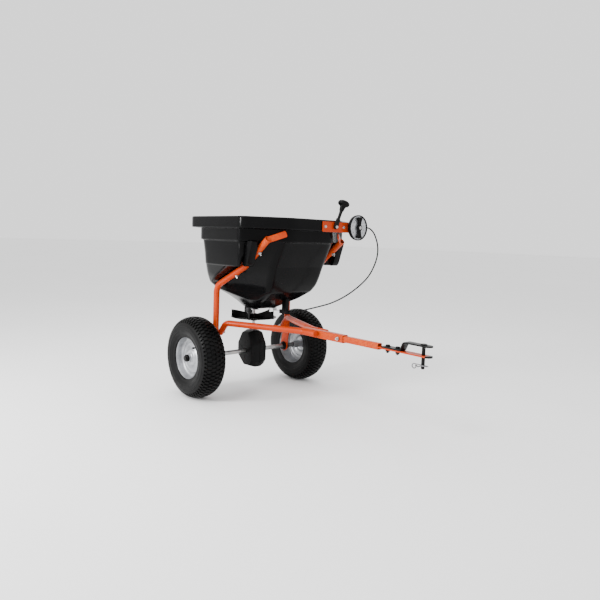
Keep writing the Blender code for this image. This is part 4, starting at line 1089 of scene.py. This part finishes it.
def make_lever():
    """Folded arm on its pivot bolt, a rod that flares at its top and a mushroom knob."""
    lean = Matrix.Translation(PIVOT) @ Matrix.Rotation(-LEVER_LEAN, 4, "X")
    half, thick = 0.009, 0.004
    plan = [*arc((0, 0), half, 180, 360, 24), *fillet([(half, 0.034), (-half, 0.034)], 0, 1, closed=False)]
    arm = bevelled(prism(plan, -thick, thick, "YZ"), 0.0012, 3)
    channel = block((-thick - 0.001, -half + 0.0024, 0.0125), (thick - 0.0022, half - 0.0024, 0.04))
    hole = rod((-0.02, 0, 0), (0.02, 0, 0), 0.0046)
    arm = cut(arm, [channel, hole])
    stem = [(0, 0.0125), (0.0056, 0.0125), (0.006, 0.03), (0.0064, 0.06), (0.0074, 0.074), (0, 0.074)]
    arm = joined([arm, lathe(stem, 0.0006, 40)])
    fine("flow_lever", moved(arm, lean), "black_steel", 40)
    top = KNOB_DISTANCE
    mushroom = [(0.0064, top - 0.03), (0.0088, top - 0.0295), (0.0098, top - 0.022), (0.0116, top - 0.012),
                (0.0165, top - 0.0075), (0.0218, top - 0.0045), (0.0235, top + 0.001), (0.0222, top + 0.0062),
                (0.017, top + 0.01), (0.009, top + 0.0124), (0, top + 0.013), (0, top - 0.02)]
    knob = moved(lathe(mushroom, 0.0022, 72, steps=4), lean)
    fine("lever_knob", knob, "black_plastic", 45)
    shapes = [rod((PLATE_X + GAP - PIVOT.x, 0, 0), (0.0048, 0, 0), 0.0042),
              *washer_and_head((0.0043, 0, 0), (1, 0, 0), 0.0012, 0.006, 0.0052, 0.0095)]
    fine("lever_pivot_bolt", moved(joined(shapes), Matrix.Translation(PIVOT)), "zinc")


def make_dial():
    """Round housing, graduated silver face with raised marks, and a bow-tie knob on a centre screw."""
    upright = Matrix.Translation(DIAL) @ Matrix.Rotation(pi / 2, 4, "Y")
    front, wall = DIAL_DEPTH, DIAL_RADIUS - 0.003
    cup = [(0.0045, 0), (DIAL_RADIUS - 0.005, 0), (DIAL_RADIUS - 0.001, 0.003), (DIAL_RADIUS, 0.008),
           (DIAL_RADIUS, front), (wall, front), (wall, front - 0.005), (0.0045, front - 0.005)]
    ring = [(DIAL_RADIUS - 0.0006, 0.0105), (DIAL_RADIUS + 0.0004, 0.011), (DIAL_RADIUS + 0.0004, 0.0125),
            (DIAL_RADIUS - 0.0006, 0.013)]
    shapes = [lathe(cup, 0.001, 96), lathe(ring, 0.0003, 96, steps=2)]
    fine("dial_housing", moved(joined(shapes), upright), "black_plastic", 40)
    face_top = front - 0.0035
    face = [(0.0045, front - 0.0047), (wall - 0.0004, front - 0.0047), (wall - 0.0004, face_top - 0.0004),
            (wall - 0.003, face_top), (0.035, face_top), (0.0343, face_top - 0.0005),
            (0.03, face_top - 0.0005), (0.0293, face_top), (0.0045, face_top)]
    fine("dial_face", moved(lathe(face, 0.0003, 96, steps=2), upright), "dial_silver", 40)
    make_dial_marks(upright, face_top)
    make_dial_knob(upright, face_top + GAP, front + 0.007)


def make_dial_marks(upright, level):
    """Raised graduations round the dial's face and plain numbers between them."""
    marks = []
    for index in range(60):
        angle = radians(6 * index)
        inner = 0.0385 if index % 5 == 0 else 0.041
        tick = block((inner, -0.0004, level - 0.0001), (0.0438, 0.0004, level + 0.00015))
        marks.append(moved(tick, Matrix.Rotation(angle, 4, "Z")))
    place_piece("dial_marks", moved(joined(marks), upright), "black_plastic", "frame")
    for index, number in enumerate("12345678"):
        angle = radians((28 + 25 * (index % 4)) + 180 * (index // 4) + 24)
        text = bpy.data.curves.new("number", "FONT")
        text.body = number
        text.size = 0.0085
        text.extrude = 0.00012
        text.align_x = "CENTER"
        text.align_y = "CENTER"
        at = Vector((0.0322 * cos(angle), 0.0322 * sin(angle), level - 0.0004))
        turn = Matrix.Translation(at) @ Matrix.Rotation(pi / 2, 4, "Z")
        digit = moved(made(linked("number", text)), turn)
        place_piece(f"dial_number_{number}", moved(digit, upright), "black_plastic", "frame")


def make_dial_knob(upright, low, high):
    """Round boss with two flared wings, and the slotted screw that holds it."""
    shapes = [lathe([(0.0041, low), (0.0125, low), (0.0118, high), (0.0041, high)])]
    for turn in (0, pi):
        plan = fillet([(0.006, -0.006), (0.026, -0.0085), (0.0395, -0.0145), (0.0425, 0.0), (0.0395, 0.0145),
                       (0.026, 0.0085), (0.006, 0.006)], [0, 0.006, 0.004, 0.01, 0.004, 0.006, 0], 6)
        wing = bevelled(prism(plan, low + 0.0005, high - 0.0015, "XY"), 0.0012, 4)
        groove = block((0.016, -0.0013, high - 0.0025), (0.036, 0.0013, high))
        shapes.append(moved(cut(wing, [groove]), Matrix.Rotation(turn, 4, "Z")))
    fine("dial_knob", moved(joined(shapes), upright), "black_plastic", 40)
    screw = [(0, 0.001), (0.0038, 0.001), (0.0038, high + GAP), (0.0068, high + GAP), (0.0066, high + 0.0017),
             (0.0045, high + 0.0029), (0, high + 0.003)]
    head = lathe(screw, 0.0005, 48)
    slot = block((-0.01, -0.0007, high + 0.0018), (0.01, 0.0007, high + 0.01))
    fine("dial_screw", moved(cut(head, [slot]), upright), "zinc", 40)


make_gear_case()
make_disc()
make_drive()
make_hopper()
make_hopper_bolts()
make_gate()
make_bracket()
make_lever()
make_dial()


# Studio

def make_light(name, place, target, size, power):
    """A round soft light that faces a target."""
    light = bpy.data.lights.new(name, "AREA")
    light.shape = "DISK"
    light.size = size
    light.energy = power
    holder = linked(name, light)
    holder.location = place
    holder.rotation_euler = (Vector(target) - Vector(place)).to_track_quat("-Z", "Y").to_euler()


def make_studio():
    """Plain pale floor, an even pale surround and three soft lights."""
    bm = bmesh.new()
    bmesh.ops.create_grid(bm, x_segments=1, y_segments=1, size=40.0)
    ground = linked("floor", mesh_of(bm, "floor"))
    ground.location.z = -0.0005
    ground.data.materials.append(surface("pale_floor", (0.9, 0.9, 0.9), (0.92, 0.92, 0.92), (0.6, 0.75),
                                         grain=(300.0, 0.00005), blotch=0.7, specular=0.2))
    world = bpy.data.worlds.new("studio")
    bpy.context.scene.world = world
    world.use_nodes = True
    filled(world.node_tree, world.node_tree.nodes["Background"], {"Color": (1, 1, 1), "Strength": 1.5})
    make_light("key", (0.2, -2.4, 2.6), (0, 0, 0.4), 1.2, 60)
    make_light("side", (-0.85, -2.5, 0.95), (-0.1, -0.2, 0.6), 0.5, 70)
    make_light("top", (-0.4, 0.2, 3.0), (0, 0, 0.4), 2.4, 40)


make_studio()
